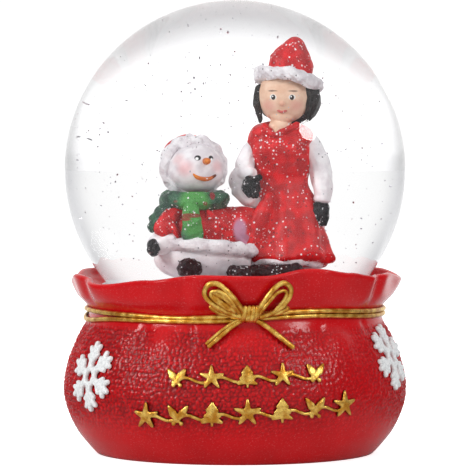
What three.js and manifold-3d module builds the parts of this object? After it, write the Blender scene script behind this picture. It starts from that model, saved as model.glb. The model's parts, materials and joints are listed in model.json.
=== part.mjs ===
// A water snow globe on a hollow cast-resin base shaped like a tied sack. A blown glass ball full of liquid is
// closed by a rubber stopper that carries a snow mound with a snowman and a girl; a battery light unit hangs under it.
import * as THREE from "three";
import { mergeVertices } from "three/addons/utils/BufferGeometryUtils.js";
import Module from "manifold-3d";

const wasm = await Module();
wasm.setup();

// ---- Driving dimensions, in millimetres. +Z is up, the front faces -Y, the origin is the middle of the foot.
const GAP = 0.3; // air left between neighbouring pieces
const GLOBE_R = 40; // outside of the glass ball
const GLOBE_Z = 66; // height of its centre
const GLASS = 2; // wall of the ball and of its neck
const NECK_R = 25; // outside of the glass neck
const NECK_END = 30.1; // height of the neck's open end
const SHELF_Z = 27.4; // ledge in the sack that carries the stopper's flange
const SHELF = 3; // thickness of that ledge
const SHELF_HOLE_R = 19;
const CORD_Z = 33.3; // height of the tied waist
const FOOT_R = 32.6;
const FOOT_INNER_R = 30;
const RIM_WALL = 1.8;
const GROUND_Z = 45.4; // top of the snow mound
const MOUND_R = 19.8;
const PLATE_LOW = 2.4; // underside and top of the bottom plate
const PLATE_TOP = 4.3;
const LEDGE_Z = PLATE_TOP + GAP;
const LEDGE_R = 25.5;
const CASE_LOW = LEDGE_Z; // the battery case stands on the bottom plate
const CASE_TOP = 18;
const CELL = { r: 5.8, length: 5.2 }; // a button cell
const SWITCH_TRAVEL = 2.4;
const SWITCH_Y = -17;

// ---- Finishes
const finish = (color, roughness, metalness = 0, more = {}) =>
  new THREE.MeshStandardMaterial({ color, roughness, metalness, ...more });
const clear = (opacity) => ({ transparent: true, opacity });
const RED_RESIN = finish(0xb5121b, 0.35);
const GOLD = finish(0xb8862b, 0.35, 0.8);
const WHITE_PAINT = finish(0xf2f2f0, 0.5);
const GLASS_CLEAR = finish(0xf4f8fa, 0.03, 0, clear(0.25));
const LIQUID = finish(0xf8fbff, 0.05, 0, clear(0.15));
const SILICONE = finish(0xdfe3e4, 0.4);
const SNOW = finish(0xf4f4f6, 0.7);
const FUR = finish(0xe6e4e6, 0.8);
const RED_PAINT = finish(0xc1121f, 0.4);
const GREEN_PAINT = finish(0x3f8f45, 0.45);
const BLACK_PAINT = finish(0x1a1b1e, 0.4);
const SKIN = finish(0xf0cdb4, 0.5);
const ORANGE_PAINT = finish(0xd9762b, 0.5);
const WHITE_PLASTIC = finish(0xe9e9e6, 0.45);
const STEEL = finish(0xb9bcc0, 0.3, 1);
const BOARD = finish(0x1f6b3a, 0.5);
const RED_WIRE = finish(0xb01820, 0.5);
const BLACK_WIRE = finish(0x141416, 0.5);

// ---- The assembly: every piece becomes one named mesh in this group.
const globe = new THREE.Group();

function add(name, geometry, material) {
  const mesh = new THREE.Mesh(geometry, material);
  mesh.name = name;
  globe.add(mesh);
}

// ---- Solid helpers: three.js makes each shape, manifold-3d joins and cuts.
function solid(geometry) {
  const bare = geometry.clone();
  bare.deleteAttribute("normal");
  bare.deleteAttribute("uv");
  const merged = mergeVertices(bare, 1e-4);
  const mesh = new wasm.Mesh({
    numProp: 3,
    vertProperties: new Float32Array(merged.attributes.position.array),
    triVerts: new Uint32Array(merged.index.array),
  });
  return new wasm.Manifold(mesh);
}

function geometryOf(body) {
  const mesh = body.getMesh();
  const geometry = new THREE.BufferGeometry();
  geometry.setAttribute("position", new THREE.BufferAttribute(mesh.vertProperties, 3));
  geometry.setIndex(new THREE.BufferAttribute(mesh.triVerts, 1));
  geometry.computeVertexNormals();
  return geometry;
}

const join = (bodies) => bodies.reduce((whole, body) => whole.add(body));
const cut = (body, tools) => tools.reduce((left, tool) => left.subtract(tool), body);

// The largest piece that is left when a cut has nicked off crumbs.
const largest = (body) => body.decompose().reduce((a, b) => (b.volume() > a.volume() ? b : a));

// A body turned about the vertical axis from [radius, height] points that run up the outside.
function turned(profile, steps = 40) {
  const points = profile.map(([r, z]) => new THREE.Vector2(r, z));
  return new THREE.LatheGeometry(points, steps).rotateX(Math.PI / 2);
}

// Points of an arc in the [radius, height] plane, angles in degrees above the horizontal.
function arc(centre, r, from, to, steps) {
  return Array.from({ length: steps + 1 }, (_, i) => {
    const a = THREE.MathUtils.degToRad(from + ((to - from) * i) / steps);
    return [Math.max(0, r * Math.cos(a)), centre + r * Math.sin(a)];
  });
}

// A ring whose section changes round the axis: sectionAt(azimuth) gives its closed [radius, height] loop.
function ringBody(sectionAt, steps) {
  const sections = Array.from({ length: steps }, (_, i) => sectionAt((i / steps) * 2 * Math.PI));
  const count = sections[0].length;
  const positions = sections.flatMap((section, i) =>
    section.flatMap(([r, z]) => onAzimuth((i / steps) * 2 * Math.PI, r, z)),
  );
  const index = [];
  for (let i = 0; i < steps; i++)
    for (let j = 0; j < count; j++) {
      const a = i * count + j;
      const b = i * count + ((j + 1) % count);
      const c = ((i + 1) % steps) * count + ((j + 1) % count);
      const d = ((i + 1) % steps) * count + j;
      index.push(a, c, b, a, d, c);
    }
  const geometry = new THREE.BufferGeometry();
  geometry.setAttribute("position", new THREE.Float32BufferAttribute(positions, 3));
  geometry.setIndex(index);
  return geometry;
}

// A round rod along a curve.
function rod(points, radius, steps, sides = 6) {
  const section = new THREE.Shape().absarc(0, 0, radius, 0, 2 * Math.PI);
  const path = new THREE.CatmullRomCurve3(points.map((p) => new THREE.Vector3(...p)));
  return new THREE.ExtrudeGeometry(section, { steps, curveSegments: sides / 2, extrudePath: path });
}

const cylinder = (r, low, high, x = 0, y = 0, sides = 20) =>
  new THREE.CylinderGeometry(r, r, high - low, sides)
    .rotateX(Math.PI / 2)
    .translate(x, y, (low + high) / 2);

const polar = (r, degrees) => {
  const a = THREE.MathUtils.degToRad(degrees);
  return [r * Math.cos(a), r * Math.sin(a)];
};

const block = (x, y, z) =>
  new THREE.BoxGeometry(x[1] - x[0], y[1] - y[0], z[1] - z[0]).translate(
    (x[0] + x[1]) / 2,
    (y[0] + y[1]) / 2,
    (z[0] + z[1]) / 2,
  );

// ---- The sack's outer surface. Azimuth 0 is the front and grows towards +X.
const onAzimuth = (azimuth, r, z) => [r * Math.sin(azimuth), -r * Math.cos(azimuth), z];

const sackCurve = new THREE.SplineCurve(
  [
    [FOOT_R, 0],
    [34.4, 1.9],
    [37.3, 5.6],
    [39.6, 10.6],
    [40.4, 15.6],
    [39.3, 21.6],
    [37.1, 27],
    [34.7, 31.6],
    [34.6, 34.2],
    [36.9, 37.2],
    [38.6, 41.4],
  ].map((p) => new THREE.Vector2(...p)),
);
const sackLine = sackCurve.getPoints(60).map((p) => [p.x, p.y]);
const RIM_Z = 41.4; // the curve's top end, before the ruffle moves it

// Height of the ruffled edge at azimuths in degrees, clockwise from the front.
const EDGE = [
  [-180, 42.4], [-158, 43.3], [-135, 41.9], [-112, 41.8], [-92, 39.8], [-76, 41.6], [-53, 39.9], [-32, 41.2],
  [-12, 42.6], [10, 42.4], [28, 43.9], [44, 42.7], [56, 41.7], [71, 42], [92, 40.5], [113, 42], [137, 41.7],
  [160, 43.4],
];

function edgeHeight(azimuth) {
  const degrees = THREE.MathUtils.euclideanModulo(THREE.MathUtils.radToDeg(azimuth) + 180, 360) - 180;
  const next = EDGE.findIndex(([a]) => a > degrees);
  const to = next < 0 ? [180, EDGE[0][1]] : EDGE[next];
  const from = EDGE[(next < 0 ? EDGE.length : next) - 1];
  const share = THREE.MathUtils.smoothstep(degrees, from[0], to[0]);
  return THREE.MathUtils.lerp(from[1], to[1], share);
}

// How far the cloth folds push the surface out, full at the edge and gone at the tied waist.
function fold(azimuth, z) {
  const above = THREE.MathUtils.smoothstep(z, CORD_Z + 1, RIM_Z);
  const below = THREE.MathUtils.smoothstep(z, 18, 29) * (1 - THREE.MathUtils.smoothstep(z, 29, CORD_Z - 1.6));
  const ruffle = 0.5 * Math.cos(7 * azimuth + 0.7) + 0.35 * Math.cos(12 * azimuth - 0.9);
  const pleat = 0.22 * Math.cos(17 * azimuth + 1.1) + 0.14 * Math.cos(26 * azimuth);
  return above * ruffle + below * pleat;
}

function sackRadius(azimuth, z) {
  const above = sackLine.findIndex(([, h]) => h >= z);
  const i = above < 0 ? sackLine.length - 1 : Math.max(1, above);
  const [r0, z0] = sackLine[i - 1];
  const [r1, z1] = sackLine[i];
  return THREE.MathUtils.lerp(r0, r1, (z - z0) / (z1 - z0)) + fold(azimuth, z);
}

// A point set off the sack's surface by a distance.
function offSack(azimuth, z, out) {
  const slope = (sackRadius(azimuth, z + 0.4) - sackRadius(azimuth, z - 0.4)) / 0.8;
  const size = Math.hypot(1, slope);
  return onAzimuth(azimuth, sackRadius(azimuth, z) + out / size, z - (out * slope) / size);
}

// Lays a flat shape, with its thickness along its own Z, on the sack round a point of the surface.
function layOnSack(geometry, azimuth, z, tilt = 0) {
  const place = geometry.getAttribute("position");
  const turn = THREE.MathUtils.degToRad(tilt);
  for (let i = 0; i < place.count; i++) {
    const x = place.getX(i) * Math.cos(turn) - place.getY(i) * Math.sin(turn);
    const y = place.getX(i) * Math.sin(turn) + place.getY(i) * Math.cos(turn);
    const slope = (sackRadius(azimuth, z + 1) - sackRadius(azimuth, z - 1)) / 2;
    const height = z + y / Math.hypot(1, slope);
    const at = azimuth + x / sackRadius(azimuth, height);
    place.setXYZ(i, ...offSack(at, height, GAP + place.getZ(i)));
  }
  return geometry;
}

// ---- The sack: a hollow casting, thin at the ruffled mouth, with a round seat for the ball and a ledge below it.
const SACK_STEPS = 48;

function sackSection(azimuth) {
  const edge = edgeHeight(azimuth);
  const raised = (z) => z + (edge - RIM_Z) * THREE.MathUtils.smoothstep(z, CORD_Z + 1, RIM_Z);
  const outside = sackCurve.getPoints(11).map((p) => [p.x + fold(azimuth, p.y), raised(p.y)]);
  const [rimR] = outside[outside.length - 1];
  const mouth = [
    [rimR - 0.45, edge + 0.6],
    [rimR - RIM_WALL + 0.35, edge + 0.5],
    [rimR - RIM_WALL - 0.2, edge - 0.6],
    [34.6, 39.2 + (edge - RIM_Z) * 0.4],
    [31.8, 38.4],
    [29, 37.8],
  ];
  const seat = [-47.5, -50.5].map((a) => arc(GLOBE_Z, GLOBE_R + 0.45, a, a, 1)[0]);
  const inside = [
    [NECK_R + 0.5, seat[1][1] - 0.4],
    [NECK_R + 0.5, SHELF_Z],
    [SHELF_HOLE_R, SHELF_Z],
    [SHELF_HOLE_R, SHELF_Z - SHELF],
    [30.8, SHELF_Z - SHELF],
    [36, 16.5],
    [34.4, 8.6],
    [31, 6.6],
    [LEDGE_R, 6.6],
    [LEDGE_R, LEDGE_Z],
    [FOOT_INNER_R, LEDGE_Z],
    [FOOT_INNER_R, 0],
  ];
  return [...outside, ...mouth, ...seat, ...inside];
}

const PLATE_SCREWS = [90, 210, 330].map((degrees) => polar(27.6, degrees));
const SCREW_HOLE_R = 1.2;

const screwHoles = PLATE_SCREWS.map(([x, y]) => solid(cylinder(SCREW_HOLE_R, LEDGE_Z - 1, 8.2, x, y, 8)));
add("sack_base", geometryOf(cut(solid(ringBody(sackSection, SACK_STEPS)), screwHoles)), RED_RESIN);

// ---- The glass ball: blown glass with a short straight neck, open at the bottom.
const GLOBE_STEPS = 28;
const ARC_STEPS = 8;
const neckAngle = -THREE.MathUtils.radToDeg(Math.acos(NECK_R / GLOBE_R));
const innerR = GLOBE_R - GLASS;
const innerAngle = -THREE.MathUtils.radToDeg(Math.acos((NECK_R - GLASS) / innerR));
add(
  "glass_globe",
  turned([
    ...arc(GLOBE_Z, innerR, 90, innerAngle, ARC_STEPS),
    [NECK_R - GLASS, NECK_END],
    [NECK_R, NECK_END],
    ...arc(GLOBE_Z, GLOBE_R, neckAngle, 90, ARC_STEPS),
  ], GLOBE_STEPS),
  GLASS_CLEAR,
);

// ---- The stopper: a soft plug in the neck with a flange under the glass, hollow below for the light.
const PLUG_R = NECK_R - GLASS - 0.4;
const PLUG_TOP = 37.6;
const FLANGE_TOP = NECK_END - GAP;
add(
  "rubber_stopper",
  turned([
    [0, 33],
    [7, 33],
    [7, SHELF_Z + GAP],
    [NECK_R, SHELF_Z + GAP],
    [NECK_R, FLANGE_TOP],
    [PLUG_R, FLANGE_TOP],
    [PLUG_R, PLUG_TOP - 0.6],
    [PLUG_R - 0.6, PLUG_TOP],
    [0, PLUG_TOP],
  ], 24),
  SILICONE,
);

// ---- The silicone bead that beds the ball in the sack's mouth.
add(
  "silicone_bead",
  turned([[29.4, 38.35], [31.6, 38.9], [30.6, 39.8], [29.4, 38.35]], 32),
  SILICONE,
);

// ---- The snow mound that the figures stand on.
const mound = [
  [MOUND_R - 0.2, 41.4],
  [18.2, 43.5],
  [14.5, 44.8],
  [9, GROUND_Z - 0.1],
  [0, GROUND_Z],
];
add("snow_mound", turned([[0, PLUG_TOP + GAP], [MOUND_R, PLUG_TOP + GAP], ...mound], 24), SNOW);

// ---- Modelling clay for the figures. Each lump takes a growth, so that a neighbour can be cut clear of it.
const lump = (at, r, tilt = [0, 0, 0]) => (grow) =>
  new THREE.SphereGeometry(1, 9, 6)
    .rotateX(Math.PI / 2)
    .scale(...r.map((v) => v + grow))
    .applyMatrix4(new THREE.Matrix4().makeRotationFromEuler(eulerOf(tilt)))
    .translate(...at);

const eulerOf = (degrees) => new THREE.Euler(...degrees.map(THREE.MathUtils.degToRad));

// A round limb that tapers from one end to the other, with rounded ends.
const limb = (from, r0, to, r1) => (grow) => {
  const start = new THREE.Vector3(...from);
  const way = new THREE.Vector3(...to).sub(start);
  const ends = [...arc(0, r0 + grow, -90, 0, 2), ...arc(way.length(), r1 + grow, 0, 90, 2)];
  const points = ends.map(([r, h]) => new THREE.Vector2(r, h));
  const turn = new THREE.Quaternion().setFromUnitVectors(
    new THREE.Vector3(0, 1, 0),
    way.clone().normalize(),
  );
  return new THREE.LatheGeometry(points, 8).applyQuaternion(turn).translate(...from);
};

// A ring of round section, stretched and tilted.
const hoop = (at, radius, tube, tilt, stretch = [1, 1, 1]) => (grow) =>
  new THREE.TorusGeometry(radius, tube + grow, 5, 12)
    .scale(...stretch)
    .applyMatrix4(new THREE.Matrix4().makeRotationFromEuler(eulerOf(tilt)))
    .translate(...at);

// A skirt or cone: [radius, height] points turned about a leaning axis and flattened front to back.
const cloak = (at, profile, lean, flat) => (grow) => {
  const top = profile[profile.length - 1][1];
  const low = profile[0][1];
  const body = [[0, low - grow], ...profile.map(([r, z]) => [r + grow, z]), [0, top + grow]];
  body[1][1] -= grow;
  body[body.length - 2][1] += grow;
  const geometry = turned(body, 12).scale(1, flat, 1);
  const place = geometry.getAttribute("position");
  for (let i = 0; i < place.count; i++) place.setX(i, place.getX(i) + lean * (place.getZ(i) - low));
  return geometry.translate(...at);
};

// Pieces of the two figures, foremost first: each is cut clear of those before it.
const FIGURES = [
  ["snowman_nose", ORANGE_PAINT, [limb([-5.4, -8.5, 67.9], 0.8, [-5.1, -10.2, 68], 0.6)]],
  ["snowman_mitten", BLACK_PAINT, [lump([-15.5, -8.2, 51.4], [1.5, 1.6, 1.9])]],
  ["snowman_boot_left", BLACK_PAINT, [lump([-8.8, -10.6, 47.3], [2.7, 3, 2.1])]],
  ["snowman_boot_right", BLACK_PAINT, [limb([-0.1, -9.9, 46.8], 1.6, [2, -9.4, 46.7], 1.5)]],
  ["snowman_cuff", FUR, [lump([-13.9, -6.6, 52.5], [2.7, 2.2, 2.4])]],
  ["scarf_tail", GREEN_PAINT, [lump([-8.2, -9.5, 55.8], [2.5, 1.1, 4.2])]],
  ["scarf_wrap", GREEN_PAINT, [
    hoop([-7.4, -4.4, 60.8], 4.9, 1.7, [4, 0, 0], [1, 0.85, 1.1]),
    limb([-12, -4.2, 60], 1.7, [-15.2, -5, 55.6], 1.2),
  ]],
  ["snowman_hood_fur", FUR, [hoop([-7.6, -3.2, 66.8], 5, 1.3, [84, 0, 8], [1, 0.9, 1])]],
  ["snowman_head", WHITE_PAINT, [lump([-7, -4.3, 66.4], [5.2, 5, 4.6])]],
  ["snowman_cap", RED_PAINT, [lump([-8.1, -0.3, 67.4], [5, 4.3, 4.9])]],
  ["coat_fur_trim", FUR, [hoop([-5, -3.6, 51.9], 6.6, 1.3, [0, 4, 0], [1.27, 0.98, 1.1])]],
  ["snowman_sleeve", RED_PAINT, [limb([-10.6, -5.6, 58.4], 2.2, [-13.4, -7, 55.4], 2)]],
  ["snowman_coat", RED_PAINT, [
    lump([-6.4, -3.4, 55.8], [7.6, 5.6, 5]),
    lump([-0.4, -3.6, 55], [5, 4.2, 4.6]),
  ]],
  ["snowman_body", WHITE_PAINT, [lump([-5.8, -3, 49.8], [9, 6.8, 4.2])]],
  ["girl_glove_left", BLACK_PAINT, [lump([2.9, -5.2, 63.3], [1.9, 1.5, 2.2])]],
  ["girl_glove_right", BLACK_PAINT, [lump([15.3, -1.6, 58.4], [1.9, 1.6, 2.5])]],
  ["girl_hat_fur", FUR, [hoop([9.5, 0.2, 82.1], 5.1, 1.35, [-24, 10, 0], [1, 0.95, 1])]],
  ["girl_head", SKIN, [
    lump([8.7, -0.4, 79.2], [4.8, 4.2, 4.9]),
    limb([8.3, 0.2, 75.6], 1.8, [8, 0.2, 73.6], 1.8),
  ]],
  ["girl_hat", RED_PAINT, [limb([9.9, 0.7, 84.2], 4.4, [11, 1, 88.7], 1.75)]],
  ["girl_hair", BLACK_PAINT, [lump([9.6, 2, 78.8], [6.4, 3.9, 5], [0, 12, 0])]],
  ["girl_sleeve_left", WHITE_PAINT, [
    limb([3.8, 0.2, 71.2], 1.9, [1.8, -1.6, 66.8], 1.9),
    lump([1.4, -1.8, 63.4], [2.7, 2.2, 3.7]),
  ]],
  ["girl_sleeve_right", WHITE_PAINT, [
    limb([13.4, 0, 70.6], 2.1, [15.4, -0.2, 65], 2.1),
    limb([15.4, -0.2, 65], 2.1, [15.7, -1, 61.4], 1.8),
  ]],
  ["girl_hem_fur", FUR, [hoop([9, -0.5, 49], 6, 1, [0, 0, 0], [1.05, 0.86, 1])]],
  ["girl_boots", BLACK_PAINT, [limb([3.4, -6, 46.9], 1.8, [11, -6, 46.8], 1.8)]],
  ["girl_dress", RED_PAINT, [
    cloak(
      [9.8, -0.2, 0],
      [[7.6, 49.4], [7.3, 53], [6.2, 58.5], [5, 62], [4.4, 64.4], [5.5, 67.6], [5.9, 70.8], [5, 73.4], [3.2, 74.8]],
      -0.085,
      0.8,
    ),
  ]],
];

const LIQUID_LOW = PLUG_TOP + GAP;
const clearOfMound = mound.map(([r, z]) => [r > 0 ? r + GAP : 0, z + GAP]);
const ground = solid(
  turned([[0, 30], [30, 30], [30, LIQUID_LOW], [MOUND_R + GAP, LIQUID_LOW], ...clearOfMound], 24),
);
const taken = [ground];
for (const [name, material, lumps] of FIGURES) {
  const shape = join(lumps.map((make) => solid(make(0))));
  add(name, geometryOf(largest(cut(shape, taken))), material);
  taken.push(join(lumps.map((make) => solid(make(GAP)))));
}

// ---- The liquid, with one smooth hollow round both figures.
const liquidArc = arc(GLOBE_Z, innerR - GAP, innerAngle, 90, ARC_STEPS);
const liquidBall = solid(turned([[0, liquidArc[0][1]], ...liquidArc], GLOBE_STEPS));
const FIGURE_HOLLOW = [
  limb([10.4, -0.8, 50], 10.2, [9, -1, 68], 10.4),
  limb([9.4, 0, 74], 9, [9.6, 0.2, 81.6], 9),
  limb([10, 0.4, 83.5], 7.6, [11.2, 1, 89], 3.2),
  lump([-5.6, -3.9, 50.5], [13, 12.6, 9.4]),
  lump([-7, -3.6, 61], [10.4, 9.6, 15]),
  lump([-8.5, -0.4, 67.6], [7, 6.2, 6.8]),
  limb([-14.6, -7.2, 51.6], 4, [-13.6, -5, 57.4], 4.8),
  limb([-0.6, -9.4, 47.6], 3.6, [5.4, -8.4, 47.4], 3.6),
];
const hollow = FIGURE_HOLLOW.map((make) => solid(make(0)));
add("liquid_fill", geometryOf(largest(cut(liquidBall, [ground, ...hollow]))), LIQUID);

// ---- The cord: two turns round the waist, both ending at the knot, which sits a little right of the front.
const KNOT = 0.09; // azimuth of the knot, radians
const KNOT_HALF = 0.075; // half of the azimuth that the knot takes up
const CORD_R = 0.5;
const TURN_RISE = 0.66; // how far each turn lies from the middle of the cord
const BOW_RISE = 0.9; // how far the bow sits above the waist

const ridge = (azimuth, degrees, width) => {
  const off = THREE.MathUtils.euclideanModulo(THREE.MathUtils.radToDeg(azimuth) - degrees + 180, 360) - 180;
  return Math.exp(-((off / width) ** 2));
};

// The cord lies a little high at the right of the front and low at the left.
const sway = (a) => ridge(a, 28, 26) - 0.4 * ridge(a, -22, 26) - 0.6 * ridge(a, -78, 22);
const split = (a) => 0.5 * ridge(a, -78, 16); // the turns part at the left

function cordTurn(height) {
  const points = Array.from({ length: 25 }, (_, i) => {
    const share = i / 24;
    const azimuth = KNOT + KNOT_HALF + share * 2 * (Math.PI - KNOT_HALF);
    const z = height(azimuth);
    return onAzimuth(azimuth, sackRadius(azimuth, z) + CORD_R + GAP + 0.15, z);
  });
  return rod(points, CORD_R, 40);
}

add("cord_turn_upper", cordTurn((a) => CORD_Z + TURN_RISE + sway(a) + split(a)), GOLD);
add("cord_turn_lower", cordTurn((a) => CORD_Z - TURN_RISE + sway(a) - split(a)), GOLD);

// ---- The bow: a knot, two loops and two tails of the same cord, lying on the sack.
// Points are [degrees from the knot, height, distance of the cord's centre from the surface].
const bowPath = (points) =>
  points.map(([degrees, z, out]) => offSack(KNOT + THREE.MathUtils.degToRad(degrees), z + BOW_RISE, out));
const BOW_R = 0.62;
const knotAt = onAzimuth(KNOT, sackRadius(KNOT, CORD_Z) + 2.3, CORD_Z + 0.3 + BOW_RISE);
add(
  "bow_knot",
  new THREE.SphereGeometry(1, 10, 6)
    .scale(1.9, 1.5, 1.8)
    .rotateZ(KNOT)
    .translate(...knotAt),
  GOLD,
);

const loop = (side) =>
  rod(
    bowPath([
      [side * 3.6, CORD_Z + 1.4, 2.4],
      [side * 6.6, CORD_Z + 3.9, 2],
      [side * 9.6, CORD_Z + 6.4, 1.7],
      [side * 13.4, CORD_Z + 7.3, 1.5],
      [side * 15.2, CORD_Z + 5.9, 1.5],
      [side * 12.4, CORD_Z + 3.4, 2],
      [side * 8, CORD_Z + 1.7, 2.6],
      [side * 4.2, CORD_Z + 0.9, 2.8],
    ]),
    BOW_R,
    20,
  );
const tail = (side) =>
  rod(
    bowPath([
      [side * 3.1, CORD_Z - 2, 2.4],
      [side * 6.4, CORD_Z - 3.1, 1.6],
      [side * 10.6, CORD_Z - 5.2, 1.2],
      [side * 15.4, CORD_Z - 7.5, 1.15],
    ]),
    BOW_R,
    10,
  );
add("bow_loop_left", loop(-1), GOLD);
add("bow_loop_right", loop(1), GOLD);
add("bow_tail_left", tail(-1), GOLD);
add("bow_tail_right", tail(1), GOLD);

// ---- Flat relief shapes, [thickness in mm] above the surface.
function flat(outline, thick, hole) {
  const points = (list) => list.map(([x, y]) => new THREE.Vector2(x, y));
  const shape = new THREE.Shape(points(outline));
  if (hole) shape.holes.push(new THREE.Path(points(hole)));
  return new THREE.ExtrudeGeometry(shape, { depth: thick, bevelEnabled: false, steps: 1 });
}

function bar(from, to, width, thick) {
  const dx = to[0] - from[0];
  const dy = to[1] - from[1];
  const length = Math.hypot(dx, dy);
  return new THREE.BoxGeometry(length, width, thick)
    .rotateZ(Math.atan2(dy, dx))
    .translate((from[0] + to[0]) / 2, (from[1] + to[1]) / 2, thick / 2);
}

// Flat pieces joined into one relief and bent round the sack.
function relief(geometries, degrees, z, tilt = 0) {
  const joined = join(geometries.map((geometry) => solid(geometry)));
  return layOnSack(geometryOf(joined), THREE.MathUtils.degToRad(degrees), z, tilt);
}

// ---- Three snowflakes, a third of a turn apart.
const FLAKE = { r: 8.1, hole: 1.1, thick: 0.8 };
const ARM = [[2.6, -18], [4.2, -8], [6.4, -25], [7.3, -17], [6.7, -10], [FLAKE.r, -5], [FLAKE.r, 5], [6.7, 10],
  [7.3, 17], [6.4, 25], [4.2, 8], [2.6, 18]]; // one arm: [radius, degrees from its middle]

function snowflake(degrees, z, tilt) {
  const arms = [0, 60, 120, 180, 240, 300];
  const outline = arms.flatMap((turn) => ARM.map(([r, angle]) => polar(r, turn + angle)));
  const hole = arms.map((turn) => polar(FLAKE.hole, turn + 30));
  return relief([flat(outline, FLAKE.thick, hole)], degrees, z, tilt);
}

add("snowflake_left", snowflake(-56, 19.3, 38), WHITE_PAINT);
add("snowflake_right", snowflake(66, 23.2, 20), WHITE_PAINT);
add("snowflake_back", snowflake(184, 20, 30), WHITE_PAINT);

// ---- Two gold garlands across the front: stars, fir trees and leaf sprigs on a thin waving stem.
const THICK = 0.7;
const star = (r) => flat(Array.from({ length: 10 }, (_, i) => polar(i % 2 ? r * 0.45 : r, 90 + 36 * i)), THICK);
const tree = (h) =>
  flat([[0, h], [-0.62 * h, 0.1 * h], [-0.3 * h, 0.1 * h], [-0.8 * h, -0.7 * h], [0.8 * h, -0.7 * h],
    [0.3 * h, 0.1 * h], [0.62 * h, 0.1 * h]], THICK);
const leaf = (h, side) =>
  flat([[0, -0.3 * h], [side * 0.5 * h, -0.2 * h], [side * 0.95 * h, 0.45 * h], [side * 0.75 * h, 0.75 * h],
    [side * 0.25 * h, 0.6 * h]], THICK);
const MOTIFS = {
  star: (size) => [star(size)],
  tree: (size) => [tree(size * 0.9)],
  sprig: (size) => [leaf(size, -1), leaf(size, 1)],
};
const STEM = { width: 0.8, wave: 0.6, step: 2.6, past: 1 };

function garland(names, degrees, z, pitch, rise, size) {
  const half = ((names.length - 1) * pitch) / 2;
  const end = half + STEM.past;
  const steps = Math.round((2 * end) / STEM.step);
  const line = Array.from({ length: steps + 1 }, (_, i) => {
    const x = THREE.MathUtils.lerp(-end, end, i / steps);
    return [x, STEM.wave * Math.sin((2 * Math.PI * x) / pitch) + rise * x - 0.6];
  });
  const side = (points, out) => points.map(([x, y]) => [x, y + out]);
  const stem = flat([...side(line, -STEM.width / 2), ...side(line.toReversed(), STEM.width / 2)], THICK);
  const motifs = names.flatMap((name, i) => {
    const x = i * pitch - half;
    return MOTIFS[name](size).map((geometry) => geometry.translate(x, rise * x, 0));
  });
  return relief([stem, ...motifs], degrees, z);
}

add("garland_upper", garland(["sprig", "star", "tree", "star", "sprig"], 4, 20.6, 8, 0.03, 2.7), GOLD);
add(
  "garland_lower",
  garland(["star", "sprig", "tree", "star", "tree", "sprig", "star"], 4, 12.6, 7.9, 0.05, 3),
  GOLD,
);

// ---- The bottom plate, with openings for the battery door and the switch.
const DOOR = { x: [-13.9, 14.3], y: [-7.4, 7.4] };
const COUNTERBORE_TOP = 3.3; // how far the screw heads are let in
const widened = ([a, b], by) => [a - by, b + by];
const plate = cut(solid(cylinder(FOOT_INNER_R - 0.4, PLATE_LOW, PLATE_TOP, 0, 0, 32)), [
  solid(block(widened(DOOR.x, GAP), widened(DOOR.y, GAP), [0, 9])),
  solid(block([-2.9, 2.9], [SWITCH_Y - 1.5, SWITCH_Y + 1.5], [0, 9])),
  ...PLATE_SCREWS.map(([x, y]) => solid(cylinder(SCREW_HOLE_R, 0, 9, x, y, 12))),
  ...PLATE_SCREWS.map(([x, y]) => solid(cylinder(2.2, 0, COUNTERBORE_TOP, x, y, 12))),
]);
add("bottom_plate", geometryOf(plate), WHITE_PLASTIC);

// A pan-head screw pointing up, with a cross cut in its head.
function screw(x, y, low, tip, headR, shankR, headH) {
  const head = solid(cylinder(headR, low, low + headH, x, y, 12));
  const shank = solid(cylinder(shankR, low + headH - 0.1, tip, x, y, 8));
  const slots = [
    block([x - headR * 0.7, x + headR * 0.7], [y - 0.2, y + 0.2], [low - 1, low + headH * 0.5]),
    block([x - 0.2, x + 0.2], [y - headR * 0.7, y + headR * 0.7], [low - 1, low + headH * 0.5]),
  ];
  return geometryOf(cut(head.add(shank), slots.map(solid)));
}

PLATE_SCREWS.forEach(([x, y], i) =>
  add(`plate_screw_${i + 1}`, screw(x, y, PLATE_LOW, 7.8, 1.9, 0.9, 0.6), STEEL),
);

// ---- The battery case: an open box over the door, with a boss for the door's screw and a post for the light.
const BOSS_X = 12;
const caseBody = cut(
  join([
    solid(block(DOOR.x, DOOR.y, [CASE_LOW, CASE_TOP])),
    solid(cylinder(3.6, CASE_TOP - 0.5, 19.4, 0, 0, 16)),
  ]),
  [
    solid(block([-12.7, 8.9], [-6.2, 6.2], [0, CASE_TOP - 1.3])),
    solid(cylinder(1.15, 0, 10.4, BOSS_X, 0, 12)),
  ],
);
add("battery_case", geometryOf(caseBody), WHITE_PLASTIC);

const CELL_Z = CASE_LOW + 0.5 + CELL.r;
[5.5, 0, -5.5].forEach((x, i) => {
  const cell = new THREE.CylinderGeometry(CELL.r, CELL.r, CELL.length, 16).rotateZ(Math.PI / 2);
  add(`battery_cell_${i + 1}`, cell.translate(x, 0, CELL_Z), STEEL);
});
const SPRING = { r: 3.2, turns: 3, from: -12, to: -8.8, wire: 0.28 };
const coil = Array.from({ length: SPRING.turns * 8 + 1 }, (_, i) => {
  const a = (i / 8) * 2 * Math.PI;
  const x = THREE.MathUtils.lerp(SPRING.from, SPRING.to, i / (SPRING.turns * 8));
  return [x, SPRING.r * Math.cos(a), CELL_Z + SPRING.r * Math.sin(a)];
});
add("contact_spring", rod(coil, SPRING.wire, 30), STEEL);

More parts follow.
